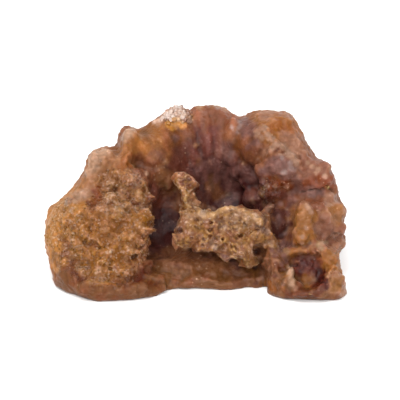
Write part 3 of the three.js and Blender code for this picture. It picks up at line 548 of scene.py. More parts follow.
        (26.1, 8, 2.1), (27.9, 9, 1.8), (25.1, 9.9, 1.6), (29.7, 7.6, 1.4), (30.6, 9, 1.1),
        (24.2, 7.6, 1.4), (26.7, 10.8, 0.9),
    ]),
    # Painted pink highlights on the red lobe.
    ("peach", [
        (27.9, 7.8, 0.6), (26.5, 8.3, 0.6), (29.5, 6.2, 0.6), (27.4, 6.9, 0.5), (25.6, 9.2, 0.5),
        (30.6, 8, 0.5),
    ]),
    ("rosewood", [
        (24.2, 1.6, 1.6), (26.5, 1.1, 2.1), (28.8, 0.9, 1.6), (23.3, -0.7, 1.1), (27, -0.7, 1.4),
    ]),
    ("salmon", [
        (30, 1.1, 1.1), (31.3, 1.6, 0.9), (30.9, -0.2, 0.9), (31.8, 0.2, 0.9), (25.6, 2.3, 0.7),
    ]),
    ("copper", [
        (31.6, -2.1, 1.8), (33.4, -1.6, 1.6), (32.9, -3.9, 1.6), (29.7, -2.5, 1.1), (27.9, -3, 1.1),
    ]),
    ("straw", [(32, -2.1, 1.1), (33.6, -3.2, 0.9), (32.5, -5.3, 0.9)]),
    ("terracotta", [
        (29.3, -3.9, 1.6), (30.6, -5.7, 1.8), (28.8, -6.7, 1.4), (30.2, -8, 1.4), (32.5, -7.6, 1.4),
        (33.4, -5.7, 1.1), (27.9, -5.3, 0.9),
    ]),
    ("salmon", [
        (33.4, -9.2, 1.1), (32, -9.9, 0.9), (34.1, -4.4, 0.7), (27.9, -5.7, 0.7), (27.4, -7.1, 0.7),
        (32, -6.9, 0.7),
    ]),
    ("straw", [
        (24.9, -1.8, 1.4), (24.4, -3.4, 1.4), (25.1, -5, 1.6), (24.4, -6.9, 1.6), (23.8, -8.5, 1.4),
        (25.6, -8, 1.1), (27, -3.4, 1.1), (26.1, -2.5, 0.9),
    ]),
    ("tawny", [
        (25.1, -1.6, 0.9), (25.8, -2.8, 0.7), (24.4, -6, 0.9), (23.8, -8.7, 0.9), (27, -7.6, 0.7),
        (26.5, -6.7, 0.7),
    ]),
    ("bronze", [
        (22.8, -4.4, 1.1), (22.6, -6.7, 1.1), (23.3, -2.1, 1.1), (22.8, -2.8, 0.9), (24.2, -4.4, 0.7),
    ]),
    ("cinnabar", [(24, -9.9, 0.5), (23.1, -9.6, 0.5), (25.4, -9.4, 0.5), (26.1, -9, 0.5)]),
    ("fawn", [
        (23.3, -11.2, 1.4), (21.9, -11, 0.7), (26.5, -11.2, 1.1), (24.9, -11.2, 0.9),
        (20.5, -10.3, 1.1),
    ]),
    ("salmon", [(26.1, -11.7, 0.7), (27, -11, 0.7), (22.8, -10.6, 0.5)]),
    ("cream", [
        (28.3, -9.2, 0.7), (29, -9, 0.5), (27.9, -9.9, 0.5), (28.6, -10.6, 0.5), (29.7, -9, 0.5),
    ]),
    ("amber", [
        (30.9, -13.5, 2.1), (29.7, -12.2, 1.4), (31.1, -15.4, 1.4), (32, -12.2, 1.1),
        (29.3, -13.5, 1.1),
    ]),
    ("straw", [(31.3, -13.1, 1.1), (30.6, -11.2, 0.9), (29.7, -14.9, 0.9), (31.6, -14.9, 0.9)]),
    ("terracotta", [(27.9, -13.5, 0.9), (27.4, -12.4, 0.9), (31.6, -16.3, 0.9)]),
    ("copper", [
        (32.5, -17.7, 1.8), (33.2, -20, 1.6), (31.6, -20, 1.4), (30.6, -18.6, 1.1), (33.9, -16.5, 0.9),
    ]),
    ("salmon", [
        (33.6, -18.6, 0.9), (33.4, -16.8, 0.9), (32, -18.6, 0.7), (32.5, -21.1, 0.9),
        (31.1, -17.2, 0.7),
    ]),
    # Painted shade in the niche, which the niche lump fills nearly flush, with lighter lumps inside it.
    ("maroon", [
        (25.1, -14, 1.8), (27, -14.9, 1.6), (23.8, -15.8, 1.1), (28.3, -16.8, 1.4), (29, -18.6, 1.1),
        (27, -19, 0.9), (22.8, -14.9, 0.9), (27.9, -20.4, 1.1), (30.2, -17.7, 0.7),
    ]),
    ("rosewood", [(25.8, -16.1, 0.9), (23.8, -18.4, 1.1), (28.8, -19.5, 0.7)]),
    ("fawn", [(25.6, -18.6, 0.9), (24.7, -17.7, 0.7), (25.8, -19.5, 0.7)]),
    ("tan", [
        (21.7, -15.8, 0.9), (21.9, -17.2, 0.9), (21.9, -18.8, 0.9), (21.2, -14.9, 0.7),
        (22.1, -20, 0.7),
    ]),
    ("rose", [(21.9, -16.8, 0.7), (21.9, -17.9, 0.7), (21.9, -19.3, 0.6), (21.7, -15.4, 0.5)]),
    ("fawn", [
        (20.1, -12.2, 1.6), (18.7, -12.6, 1.1), (17.8, -13.5, 1.1), (21.5, -12.2, 1.1),
        (20.1, -14, 1.1), (19.6, -18.1, 1.1), (19.2, -19.3, 0.9), (20.5, -16.3, 0.9),
    ]),
    ("salmon", [
        (20.5, -10.8, 0.9), (19.6, -13.5, 0.7), (19.4, -19, 0.7), (21, -13.3, 0.7), (22.8, -19.5, 0.7),
    ]),
    ("redwood", [(20.1, -15.1, 0.7), (19.2, -15.4, 0.5), (21.2, -14.5, 0.5), (21.9, -14, 0.3)]),
    ("umber", [
        (18.2, -15.8, 1.1), (17.3, -17.2, 1.1), (18.5, -14.5, 0.7), (16.4, -14.9, 0.9),
        (16, -13.5, 0.9),
    ]),
    ("russet", [
        (19.2, -20.4, 1.4), (21.9, -20.9, 1.4), (24.7, -21.1, 1.4), (17.3, -19.3, 0.9),
        (16, -18.4, 0.9), (27, -21.8, 1.1), (29.7, -21.3, 1.1), (25.1, -20, 0.9),
    ]),
    ("gold", [(21.9, -20.7, 0.7), (16, -18.4, 0.5), (19.6, -16.8, 0.5)]),
    # The right hollow, which its lump fills: dark purple partly the stone's colour, partly painted shade,
    # with lilac spots.
    ("damson", [
        (18.2, -2.1, 1.4), (19.2, -4.4, 1.4), (18.2, -6.7, 1.4), (19.6, -7.6, 1.1), (20.1, -2.3, 1.1),
        (20.1, -5.7, 0.9), (17.3, -4.8, 0.9), (16.9, -0.7, 0.9),
    ]),
    ("heather", [
        (18.7, -3, 0.5), (20.1, -4.4, 0.5), (20.3, -9.2, 0.9), (21.5, -9.6, 0.9), (19.2, -0.2, 0.7),
        (18, -0.5, 0.5), (20.5, -7.1, 0.5),
    ]),
    ("maroon", [
        (21.5, -4.8, 0.7), (21.5, -7.6, 0.7), (21, -0.5, 0.9), (21, -2.5, 0.7), (19.6, -9.9, 0.9),
    ]),
    # The hollow between the left crust and the bridge: dark colours partly the stone's, partly painted
    # shade.
    ("damson", [
        (-8.4, -3, 2.1), (-7.5, -6.2, 2.1), (-6.5, -8.5, 1.6), (-8.4, -9.4, 1.8), (-8.8, -12.2, 1.6),
        (-10.2, -10.3, 1.4), (-5.6, -2.5, 1.4), (-5.2, -5.3, 1.4), (-4.2, -3, 0.9),
    ]),
    ("fig", [
        (-8.8, -4.4, 1.1), (-7, -3.9, 1.1), (-5.6, -6.2, 1.1), (-10.7, -7.6, 0.9), (-3.8, -6.2, 0.7),
        (-11.1, -12.6, 0.7), (-7.7, -2.1, 0.9),
    ]),
    # Painted shadow in the purple band under the bridge, and painted shade in the hole at its right end.
    ("umber", [
        (-9.3, -13.5, 1.4), (-7, -11.7, 1.4), (-4.2, -12.2, 1.4), (-1.5, -12.2, 1.6),
        (1.7, -12.6, 1.6), (-4.7, -14, 1.1), (-11.1, -14.9, 0.9),
    ]),
    ("heather", [
        (8.1, -13.5, 1.1), (6.3, -12.6, 1.1), (3.8, -12.2, 1.1), (9.5, -14.7, 0.7), (-0.1, -11.2, 0.7),
    ]),
    ("fig", [(14.1, -11.2, 0.9), (14.1, -13.1, 0.9), (13.4, -14.9, 0.7), (15, -14.9, 0.9)]),
    ("bronze", [
        (-2.4, -14.9, 1.6), (-0.1, -14, 1.4), (3.1, -14.5, 1.6), (5.9, -14.5, 1.6), (0.8, -15.8, 1.6),
        (-6.5, -14.9, 1.4),
    ]),
    ("umber", [
        (9.1, -16.8, 1.6), (7.2, -15.8, 1.4), (11.8, -16.8, 1.1), (10.9, -18.4, 1.1),
        (9.1, -18.6, 0.9), (15.5, -16.3, 1.4), (16.9, -15.8, 1.1), (11.8, -14.9, 0.9),
    ]),
    ("russet", [
        (-8.4, -15.8, 1.8), (-5.6, -16.8, 1.8), (-2.4, -16.8, 1.8), (0.8, -17.7, 1.6), (4.5, -17, 1.8),
        (-10.7, -17.7, 1.6), (6.8, -18.1, 1.4), (3.1, -18.8, 1.1), (13.2, -18.4, 0.9),
    ]),
    ("cedar", [
        (-4.7, -17.7, 1.1), (-1.5, -17.9, 1.1), (-7.9, -16.8, 0.9), (2.2, -17, 0.9),
        (-8.4, -19.5, 0.9),
    ]),
    ("salmon", [(14.1, -17.4, 0.5), (15, -17.2, 0.5)]),
    ("bark", [(-10.7, -18.4, 0.7), (-9.3, -18.6, 0.5), (13.7, -18.4, 0.7), (11.4, -19.5, 0.7)]),
    ("tan", [
        (-1.5, -2.5, 1.6), (0.8, -3, 1.6), (-1.5, -4.8, 1.1), (2.2, -2.1, 1.1), (4, -3, 1.1),
        (6.3, -2.1, 1.6), (8.6, -2.5, 1.4), (10.9, -3.2, 1.4), (12.7, -3.9, 1.1), (-2.4, -1.1, 0.9),
        (8.1, -4.4, 1.8), (5.9, -5.3, 1.4), (11.4, -5.7, 1.4), (10, -4.8, 1.4), (3.1, -9, 0.9),
    ]),
    ("toast", [
        (6.3, -3, 0.9), (-1, -5.7, 1.1), (0.8, -5.7, 1.1), (2.2, -6.7, 0.7), (13.2, -7.1, 1.1),
        (11.4, -8.5, 1.1), (11.8, -11.2, 0.9), (12.3, -13.5, 0.7), (14.1, -8, 1.1), (15.5, -7.6, 1.1),
        (0.3, -4.8, 0.9), (6.8, -8.5, 0.9), (10, -9, 0.9), (7.7, -10.3, 0.9),
    ]),
    ("cocoa", [
        (-1, -8, 1.1), (0.8, -8.5, 1.1), (-2, -9.4, 0.9), (2.2, -9.4, 1.1), (3.3, -5.3, 0.7),
        (3.6, -7.1, 0.7), (9.1, -7.6, 0.9), (10.4, -7.1, 0.7), (9.1, -9.9, 0.7), (8.1, -11.7, 0.9),
        (4, -8, 0.7), (-0.1, -9.9, 0.9), (10.9, -14, 0.7), (5.9, -3.9, 0.5),
    ]),
    ("pewter", [
        (15.5, -3.9, 0.9), (15, -5.7, 1.1), (16, -6.7, 0.9), (15.5, -2.5, 0.7), (16.4, -1.6, 0.7),
        (17.1, -0.7, 0.7), (6.3, -5.7, 0.7), (7.2, -4.8, 0.7), (-0.6, -1.1, 0.9), (2.2, -1.1, 0.9),
        (3.6, -1.6, 0.9), (13.7, -5.3, 0.7),
    ]),
    ("khaki", [
        (-2.9, -9, 1.1), (-4.2, -9.2, 0.7), (4.5, -9.9, 0.9), (5.9, -9, 0.7), (4.9, -8, 0.7),
        (8.6, -11.2, 0.5), (-0.1, -3.7, 0.7), (5.9, -10.6, 0.7),
    ]),
    ("tan", [
        (17.3, -9.4, 0.9), (16, -9, 0.7), (18.5, -10.8, 0.9), (17.8, -11.7, 0.9), (-2.2, 0.7, 0.9),
        (-0.8, -0.2, 0.7), (-3.8, 4.4, 1.1), (-1.5, 3.9, 0.9), (-2.9, 5.3, 0.7), (-2.4, 2.5, 0.7),
    ]),
    ("khaki", [(-3.3, 4.6, 1.1), (-4.2, 3.4, 0.7), (-2.4, 4.4, 0.7), (-4.7, 5, 0.7)]),
    ("chalk", [(1.3, -2.5, 0.9), (13.7, -3.4, 0.7), (4.2, -10.1, 0.7)]),
    ("cedar", [
        (-5.6, 4.4, 1.1), (-5.2, 5.7, 0.7), (-6.1, 2.5, 0.9), (-3.8, 2.1, 0.7), (-3.3, 0.2, 0.7),
        (-4.2, -1.1, 0.9), (-3.1, -1.6, 0.7),
    ]),
    ("pewter", [
        (12.5, 0.7, 0.7), (13, 0.2, 0.5), (15, 2.5, 0.7), (7.2, 2.3, 0.7), (16, -0.2, 0.9),
        (10.9, 3.7, 0.3), (17.3, -0.5, 0.7),
    ]),
    ("tan", [(14.8, 1.6, 0.7), (15.3, 3.4, 0.5), (12.3, 0.5, 0.4), (-7, 3.9, 0.7), (-4.9, 3, 0.5)]),
    ("frost", [
        (-6.5, 20.4, 1.1), (-4.7, 21.3, 1.4), (-3.1, 20.4, 0.9), (-7.5, 19.7, 0.7), (-5.6, 19.7, 0.7),
        (-8.4, 19, 0.6), (-9.5, 18.6, 0.6), (-6.1, 21.8, 1.1), (-4.2, 22.3, 1.1),
    ]),
    ("copper", [(-7, 9.4, 0.6), (3.1, 9.2, 0.6), (-0.1, 13.3, 0.6)]),
    ("peach", [
        (15.3, 5.3, 0.5), (-10.4, 19, 0.7), (-8.8, 18.1, 0.7), (10.7, 9.2, 0.4), (-13, 5, 0.7),
        (-11.4, 6.9, 0.7),
    ]),
    # Painted light on the thin edge of the lower right corner.
    ("peach", [(34.3, -18.6, 0.9), (34.3, -20.2, 0.9), (33.4, -21.6, 0.9), (34.5, -16.5, 0.7)]),
    ("ash", [
        (-24, -15.8, 1.4), (-25.8, -14, 0.9), (-22.1, -17.7, 1.1), (-24.4, -18.1, 0.9),
        (-27.2, -14.9, 0.9), (-28.6, -12.2, 0.9), (-21.2, -15.8, 0.9),
    ]),
    ("cedar", [(-28.6, -18.6, 1.1), (-25.8, -20.4, 1.1), (-22.1, -21.6, 1.1), (-18.5, -22, 0.9)]),
    ("plum", [
        (1.7, 8.5, 1.4), (4, 9.4, 1.4), (6.8, 9, 1.4), (9.1, 8, 1.1), (0.3, 7.1, 1.1), (5.4, 7.1, 1.4),
        (7.7, 6.2, 1.4), (11.4, 7.1, 1.6), (13.2, 5.3, 1.4), (12.3, 8.5, 1.1),
    ]),
    ("honey", [
        (-32.7, -11.2, 1.4), (-32.7, -13.1, 1.4), (-32.2, -14.9, 1.1), (-31.8, -9.4, 1.1),
        (-30.4, -13.5, 0.9),
    ]),
    # Painted light shining through the thin quartz under the crown.
    ("painted_glow", [(-4.5, 18.6, 1.1), (-6.3, 18.1, 0.9), (-3.3, 17.9, 0.9), (-5.4, 17.2, 0.7)]),
    ("straw", [
        (24.9, -1.1, 0.9), (25.8, -2.5, 0.7), (31.1, -12.2, 0.9), (23.5, -8.5, 0.7),
        (26.5, -11.2, 0.6), (23.3, -10.8, 0.7), (32.2, -1.1, 0.9),
    ]),
    # Painted pinkish highlights on the tops of the left lobes, the knob and the lumps at the left edge.
    ("rose", [
        (-23.1, 12.2, 0.9), (-21.2, 12.4, 0.7), (-24.9, 10.3, 0.7), (-15.7, 16.8, 0.9),
        (-14.6, 17, 0.7), (-29, -1.6, 0.6), (-27.2, 1.6, 0.7), (-27.7, 0.5, 0.6),
    ]),
    # More painted shade in the niche.
    ("mahogany", [
        (25.6, -13.5, 1.1), (27.2, -14.9, 1.1), (24.2, -14.7, 0.9), (28.6, -16.8, 0.9), (30, -19, 0.7),
        (28.8, -19.5, 0.7), (23.8, -16.1, 0.7), (27, -13.5, 0.9),
    ]),
    ("fig", [(26.1, -14.5, 0.7), (27.9, -15.8, 0.7), (24.9, -13.8, 0.7), (29.5, -17.9, 0.6)]),
    ("cocoa", [
        (18.2, -20.2, 1.1), (21, -21.6, 1.4), (23.8, -21.8, 1.4), (26.5, -22, 1.1), (29.7, -22, 1.1),
        (32, -21.8, 0.9), (16.4, -19, 0.9),
    ]),
    ("umber", [(16.9, -13.5, 0.9), (16.4, -15.4, 0.9), (17.8, -18.1, 0.7), (19.2, -16.8, 0.7)]),
    ("amber", [
        (-22.1, -7.6, 1.8), (-19.4, -6.7, 1.8), (-17.1, -7.6, 1.6), (-21.2, -5.3, 1.4),
        (-18.5, -5.3, 1.4), (-24, -6.7, 1.4),
    ]),
    ("straw", [
        (-16.2, -8.5, 0.7), (-14.3, -8, 0.7), (-18, -9.4, 0.6), (-19.9, -8, 0.6), (-22.1, -9.4, 0.5),
        (-15.7, -10.3, 0.6), (-13.4, -6.7, 0.6), (-11.6, -5.3, 0.6), (-13, -4.4, 0.6),
        (-14.8, -5.7, 0.5), (-24, -5.3, 0.5), (-25.8, -4.4, 0.5), (-27.7, -5.7, 0.5), (-29, -3.4, 0.6),
        (-30.4, -5.3, 0.6), (-31.3, -7.6, 0.6), (-29, -7.6, 0.5), (-26.3, -8.5, 0.5),
        (-23.1, -13.5, 0.6), (-21.2, -14.9, 0.6), (-19.4, -16.3, 0.6), (-17.6, -14, 0.5),
        (-24, -16.3, 0.5), (-16.2, -13.5, 0.5), (-20.3, -11.7, 0.5), (-18.5, -11.7, 0.5),
        (-25.8, -13.5, 0.5), (-27.2, -11.2, 0.6),
    ]),
    # Painted light shining through the block's thin top.
    ("salmon", [
        (15, 20.7, 1.1), (17.1, 21.1, 1.1), (19.4, 20.9, 1.1), (21.5, 20.2, 0.9), (16, 19.5, 0.9),
    ]),
    ("straw", [
        (33.2, -1.1, 0.9), (33.9, -2.5, 0.9), (32.5, -2.5, 0.9), (30.6, -1.1, 0.7), (31.3, -12.6, 1.1),
        (30.2, -11.7, 0.9),
    ]),
    ("straw", [(25.1, -2.5, 0.9), (24.7, -4.4, 0.9), (24.7, -6.7, 0.9), (26.1, -8.5, 0.7)]),
    ("heather", [(23.8, 3, 1.4), (26.1, 2.5, 1.4), (28.3, 2.5, 1.1), (21.9, 0.7, 1.1)]),
    ("umber", [(27.4, -2.1, 0.7), (28.8, -3.9, 0.9), (30.6, -7.6, 0.9)]),
    ("cocoa", [
        (19.6, -12.6, 0.9), (18.2, -13.5, 0.9), (20.1, -14.5, 0.7), (18.2, -18.6, 0.9),
        (19.6, -19, 0.9), (23.8, -20.2, 0.9), (26.5, -20.4, 0.9),
    ]),
    ("cocoa", [
        (8.6, -11.7, 0.9), (10, -12.6, 0.9), (7.7, -10.3, 0.7), (11.4, -12.2, 0.7), (5.9, -9.9, 0.7),
    ]),
    # More of the hollow under the fan: purple partly the stone's colour, partly painted shade.
    ("plum", [
        (9.1, 1.6, 1.1), (11.4, 0.7, 1.1), (7.7, 3.4, 1.1), (9.5, 4.8, 1.1), (14.1, 1.6, 0.9),
        (7.2, 0, 0.9),
    ]),
    ("fig", [(10.7, 3, 0.9), (12.3, 3.9, 0.7), (9.1, -0.2, 0.9), (0.8, 3.4, 0.7)]),
    ("toast", [
        (-1.5, -4.4, 0.9), (0.3, -6.2, 0.7), (2.2, -7.6, 0.7), (7.2, -4.4, 0.7), (10, -4.8, 0.7),
        (11.8, -6.2, 0.7), (-2.4, -8.5, 0.7), (5.9, -6.7, 0.7), (11.4, -10.3, 0.7),
    ]),
    # Painted shade under the niche's upper edge.
    ("maroon", [
        (21.9, -13.5, 0.9), (23.8, -12.6, 0.9), (25.6, -12.4, 0.9), (22.8, -14.7, 0.9),
        (27.4, -12.6, 0.7), (24.4, -13.5, 0.9),
    ]),
    ("plum", [(15, 7.1, 0.9), (15, 4.8, 0.9)]),
    ("honey", [(-33.2, -6.7, 1.6), (-32.2, -4.4, 1.6), (-30.9, -2.1, 1.4)]),
    ("toast", [(-2, -0.7, 0.9), (-1, -2.1, 0.9), (-3.3, 3.9, 0.7), (-2, 2.5, 0.7)]),
    # Painted light along the thin right edge.
    ("peach", [
        (34.5, -1.1, 0.6), (34.8, -3, 0.6), (34.8, -5.5, 0.6), (34.3, -8.7, 0.6), (34.1, -10.6, 0.6),
        (34.8, -18.1, 0.6), (34.8, -20, 0.6),
    ]),
    # Painted light along the thin top edge.
    ("rose", [
        (0.6, 22, 0.6), (2.6, 22.5, 0.6), (4.9, 22.3, 0.6), (7.2, 21.6, 0.6), (16.4, 20.9, 0.6),
        (18.7, 21.1, 0.6), (21, 20.9, 0.6), (23.1, 19.5, 0.6),
    ]),
    # Painted light along the thin upper right edge.
    ("peach", [
        (24.4, 16.8, 0.6), (25.4, 14.5, 0.6), (27, 12.2, 0.6), (29.3, 10.6, 0.6), (31.3, 9, 0.6),
        (32.5, 6.2, 0.6), (33.2, 3, 0.6),
    ]),
    ("straw", [
        (23.8, -2.1, 1.4), (25.6, -3.9, 1.4), (23.8, -6.2, 1.4), (25.4, -8.5, 1.1), (27, -2.5, 0.9),
        (22.8, -4.4, 0.9),
    ]),
    # Painted pale highlights on the tops of the yellow lumps.
    ("sand", [
        (25.4, -0.9, 0.6), (26.3, -2.1, 0.6), (24.4, -7.8, 0.5), (25.1, -5.7, 0.5), (25.8, -9.2, 0.5),
    ]),
    ("bone", [
        (-19.6, 3.7, 0.8), (-18.9, 2.1, 0.7), (-20.1, 0.7, 0.7), (-17.8, 4.1, 0.7), (-16.4, 3.4, 0.7),
        (-14.8, 2.8, 0.7), (-17.3, 0.9, 0.7), (-16, -0.7, 0.7), (-13.4, 2.3, 0.7), (-12.3, 0.9, 0.7),
        (-18.7, -0.9, 0.7), (-16.6, -2.1, 0.7), (-13.9, -1.6, 0.7), (-19.4, 5.3, 0.7),
    ]),
    ("dusk", [
        (-18.2, 3, 0.5), (-17.1, 2.3, 0.4), (-15.5, 1.4, 0.6), (-14.6, 0, 0.7), (-13.4, -0.2, 0.5),
        (-19.4, -0.2, 0.4), (-17.6, -0.2, 0.4), (-15.7, 2.5, 0.4), (-16.9, 5, 0.5), (-13, 3.7, 0.4),
        (-15, 4.1, 0.5), (-13.4, 5, 0.6), (-12, 3, 0.5),
    ]),
    ("straw", [
        (-26.7, -12.2, 0.9), (-25.4, -13.5, 1.1), (-23.5, -14.9, 1.1), (-21.2, -15.8, 1.1),
        (-19.9, -11.7, 0.9), (-19.4, -13.5, 0.8), (-15, -10.6, 0.7), (-17.6, -14.5, 0.9),
        (-15.7, -14.9, 0.7), (-27.7, -10.8, 0.7),
    ]),
    ("bone", [
        (-20.3, -11.2, 0.6), (-19.2, -12.6, 0.6), (-15, -10.6, 0.6), (-25.8, -12.9, 0.5),
        (-22.6, -15.4, 0.6), (-17.6, -8, 0.6), (-14.8, -7.3, 0.6), (-12.5, -5.3, 0.6),
        (-16.2, -12.6, 0.6),
    ]),
    ("dusk", [
        (-24.2, -9.6, 0.5), (-23.3, -9.9, 0.5), (-19.2, -13.8, 0.4), (-18.9, -14.9, 0.5),
        (-18, -12.2, 0.4), (-24.9, -14.9, 0.4),
    ]),
    ("heather", [
        (20.5, -9.9, 0.9), (19.2, -10.8, 0.9), (18.2, -12.2, 0.9), (17.3, -10.8, 0.7),
        (19.6, -9.4, 0.7),
    ]),
    ("tan", [(20.1, -12.2, 0.9), (21.5, -13.5, 0.7), (18.7, -13.5, 0.7), (20.8, -11, 0.7)]),
    ("mahogany", [
        (20.1, -14.9, 0.6), (21, -14, 0.6), (21.9, -13.1, 0.6), (19.2, -15.6, 0.5), (23.1, -12.6, 0.5),
    ]),
    ("umber", [
        (18.7, -19.5, 0.9), (21.5, -20.9, 0.9), (24.2, -21.3, 0.9), (27, -21.6, 0.9),
        (29.7, -21.6, 0.9), (16.4, -19.5, 0.7), (20.1, -20.2, 0.7),
    ]),
    ("salmon", [(20.1, -19, 0.6), (22.8, -19.7, 0.6), (25.1, -10.6, 0.7), (23.8, -11.5, 0.6)]),
    ("copper", [(32.5, -2.5, 0.9), (33.9, -2.1, 0.7), (32, -4.8, 0.7)]),
    ("plum", [
        (2.2, 7.6, 1.1), (4, 8, 1.1), (6.3, 8, 1.1), (8.6, 7.1, 1.1), (1.7, 5.7, 0.9), (4.5, 5.3, 0.9),
        (7.2, 4.8, 0.9),
    ]),
    ("rosewood", [
        (15, 13.1, 0.9), (14.1, 11.7, 0.9), (12.3, 10.3, 0.9), (13.7, 9, 0.9), (11.4, 12.2, 0.7),
    ]),
    # More painted shadow under the bridge.
    ("umber", [
        (-6.5, -10.8, 1.1), (-3.8, -11.2, 1.1), (-1, -11.7, 1.1), (1.7, -12.2, 1.1), (4.5, -12.6, 0.9),
    ]),
    ("fawn", [(23.5, -10.8, 0.7), (25.1, -11, 0.7)]),
    ("rosewood", [(23.8, -19, 0.7), (25.6, -17.7, 0.7), (26.5, -18.8, 0.7)]),
    # More painted light shining through the block's thin top.
    ("salmon", [
        (16.9, 20.7, 0.9), (19.2, 20.7, 0.9), (21.5, 19.7, 0.9), (15, 19.7, 0.9), (23.8, 17.7, 0.7),
    ]),
    ("rosewood", [(11.4, 14.5, 1.1), (13.2, 12.2, 1.1), (12.3, 9.9, 1.1), (10.4, 11.7, 0.9)]),
    ("heather", [(13.7, 14, 0.9), (11.6, 12.6, 0.7), (12.7, 15.8, 0.7), (10.9, 15.4, 0.7)]),
    ("cinnabar", [(27.7, -11.7, 0.5), (28.1, -12.6, 0.6), (27.4, -10.8, 0.3), (28.6, -13.5, 0.5)]),
    # Painted shade in the niche.
    ("damson", [
        (23.5, -14.5, 0.7), (24.4, -13.5, 0.7), (25.8, -14, 0.7), (23.1, -15.8, 0.6),
        (27.9, -17.2, 0.7), (28.8, -18.6, 0.7), (29.7, -19.5, 0.6), (27.2, -20, 0.5), (27, -15.4, 0.6),
    ]),
    ("fawn", [(24.9, -16.8, 0.6), (25.6, -17.7, 0.7), (25.1, -18.8, 0.6)]),
    ("rose", [(21.2, -15.8, 0.6), (21.7, -17.2, 0.6), (21.7, -18.6, 0.6), (21, -14.5, 0.5)]),
    # Painted pale highlights on the yellow lumps and around the white spot.
    ("peach", [
        (25.8, -1.1, 0.6), (25.1, -0.5, 0.5), (26.7, -2.1, 0.4), (24.2, -9.2, 0.5), (28.8, -9.2, 0.5),
        (29.7, -9.2, 0.4), (28.3, -10.3, 0.4),
    ]),
    ("russet", [(19.2, -20.9, 1.1), (29.3, -21.3, 0.9)]),
    ("bark", [
        (21.2, -21.3, 0.9), (23.3, -21.1, 0.9), (25.4, -21.3, 0.9), (27.4, -21.1, 0.9),
        (20.3, -20.2, 0.6), (24.4, -20.2, 0.7), (28.3, -20.4, 0.7),
    ]),
    ("toast", [(31.3, -17.7, 0.9), (32.7, -18.6, 0.9), (31.8, -19.7, 0.9), (33.4, -17.4, 0.7)]),
    # Painted shade in the niche.
    ("mahogany", [
        (24.4, -14.9, 0.9), (26.3, -14.5, 0.9), (28.1, -14.9, 0.7), (29.3, -15.8, 0.7),
        (23.3, -15.8, 0.7), (27.4, -18.6, 0.6), (28.3, -17.9, 0.6),
    ]),
    ("bronze", [
        (18.2, -13.5, 0.9), (19.9, -14.5, 0.9), (18.5, -15.8, 0.9), (18, -17.7, 0.9),
        (21.5, -13.5, 0.7),
    ]),
    ("khaki", [
        (19.9, -16.1, 0.7), (19.6, -17.7, 0.7), (20.5, -19, 0.6), (18.9, -18.6, 0.7), (18, -16.5, 0.7),
    ]),
    ("cocoa", [
        (-3.8, 5, 0.7), (-2.4, 4.4, 0.7), (-1.3, 3.9, 0.7), (7.5, -9.4, 0.7), (9.5, -10.1, 0.7),
        (11.1, -11.2, 0.7), (8.4, -11.9, 0.7), (10.7, -12.9, 0.7), (11.8, -9.4, 0.5),
    ]),
    # Darker along the bridge's top edge, and painted shadow under the bridge.
    ("umber", [
        (-1, -0.9, 0.5), (2, -0.7, 0.5), (5.9, -0.9, 0.5), (-9.3, -12.4, 0.9), (-6.5, -12.6, 0.9),
        (-3.8, -12.4, 0.9), (-0.8, -12.4, 0.9), (2, -12.6, 0.9), (4.2, -12.4, 0.9),
    ]),
    ("amber", [
        (-24.4, -10.8, 1.1), (-21.2, -11.9, 1.1), (-18, -13.5, 1.1), (-22.8, -14, 1.1),
        (-19.4, -10.1, 0.9),
    ]),
    ("cinnabar", [(-22.6, 3.4, 0.6), (-22.8, 2.1, 0.6), (-22.1, 1.1, 0.5)]),
    ("honey", [(-30.2, -1.6, 0.9), (-28.3, -3.2, 0.9), (-27.4, -1.1, 0.7)]),
    # Painted shade in the niche.
    ("fig", [(28.1, -17.9, 0.6), (28.8, -17.2, 0.6), (27.9, -19, 0.6), (29.3, -18.1, 0.6)]),
    ("damson", [(24.7, -14, 0.7), (26.5, -14.2, 0.7), (23.8, -15.8, 0.6), (28.3, -15.4, 0.6)]),
    ("tawny", [
        (-24.9, -11.2, 1.1), (-22.1, -12.6, 1.1), (-19.4, -13.5, 1.1), (-23.5, -14.5, 0.9),
        (-20.8, -10.6, 0.9), (-18, -12.2, 0.9),
    ]),
    ("russet", [
        (-3.8, 5.3, 0.8), (-2.4, 4.4, 0.8), (-1.3, 3.7, 0.7), (9.1, -9.6, 0.7), (11.4, -12.2, 0.7),
    ]),
    ("gold", [(17.6, -19.7, 0.7), (16.9, -18.4, 0.6), (19.9, -19.7, 0.6)]),
    ("bark", [
        (-3.1, 4.8, 0.9), (-1.7, 3.9, 0.7), (18.2, -14, 0.6), (19.4, -15.4, 0.6), (18, -16.8, 0.6),
        (20.8, -13.5, 0.5),
    ]),
    ("ash", [(-32.5, -11.9, 0.9), (-31.8, -14, 0.9), (-32.9, -13.1, 0.7)]),
    ("tawny", [(-30.4, -1.6, 0.7), (-28.6, -3, 0.7)]),
    # Painted shade in the niche.
    ("mahogany", [(25.6, -15.4, 0.7), (27.4, -14.5, 0.6)]),
    ("heather", [(19.9, -12.2, 0.7), (20.5, -13.3, 0.7), (19.6, -14, 0.7)]),
    ("umber", [(21.2, -12.4, 0.5), (21.5, -13.8, 0.5), (18.9, -12.6, 0.6)]),
    ("bark", [
        (23.8, -19.7, 0.6), (25.6, -20, 0.6), (27.4, -19.7, 0.6), (28.8, -19.3, 0.6),
        (18.7, -14.9, 0.5), (20.1, -14.9, 0.5),
    ]),
    # Painted shade in the niche's lower right.
    ("mahogany", [(28.6, -18.6, 0.5), (29.5, -17.7, 0.5), (26.5, -19.3, 0.5), (27.9, -18.8, 0.5)]),
    ("brick", [(26.7, -11.2, 0.5), (27.9, -11.7, 0.5), (25.6, -11, 0.4)]),
    ("tawny", [
        (-23.3, -11.9, 1.1), (-20.8, -13.5, 1.1), (-18, -10.3, 1.1), (-19.4, -8.5, 0.9),
        (-25.8, -13.5, 0.9),
    ]),
]

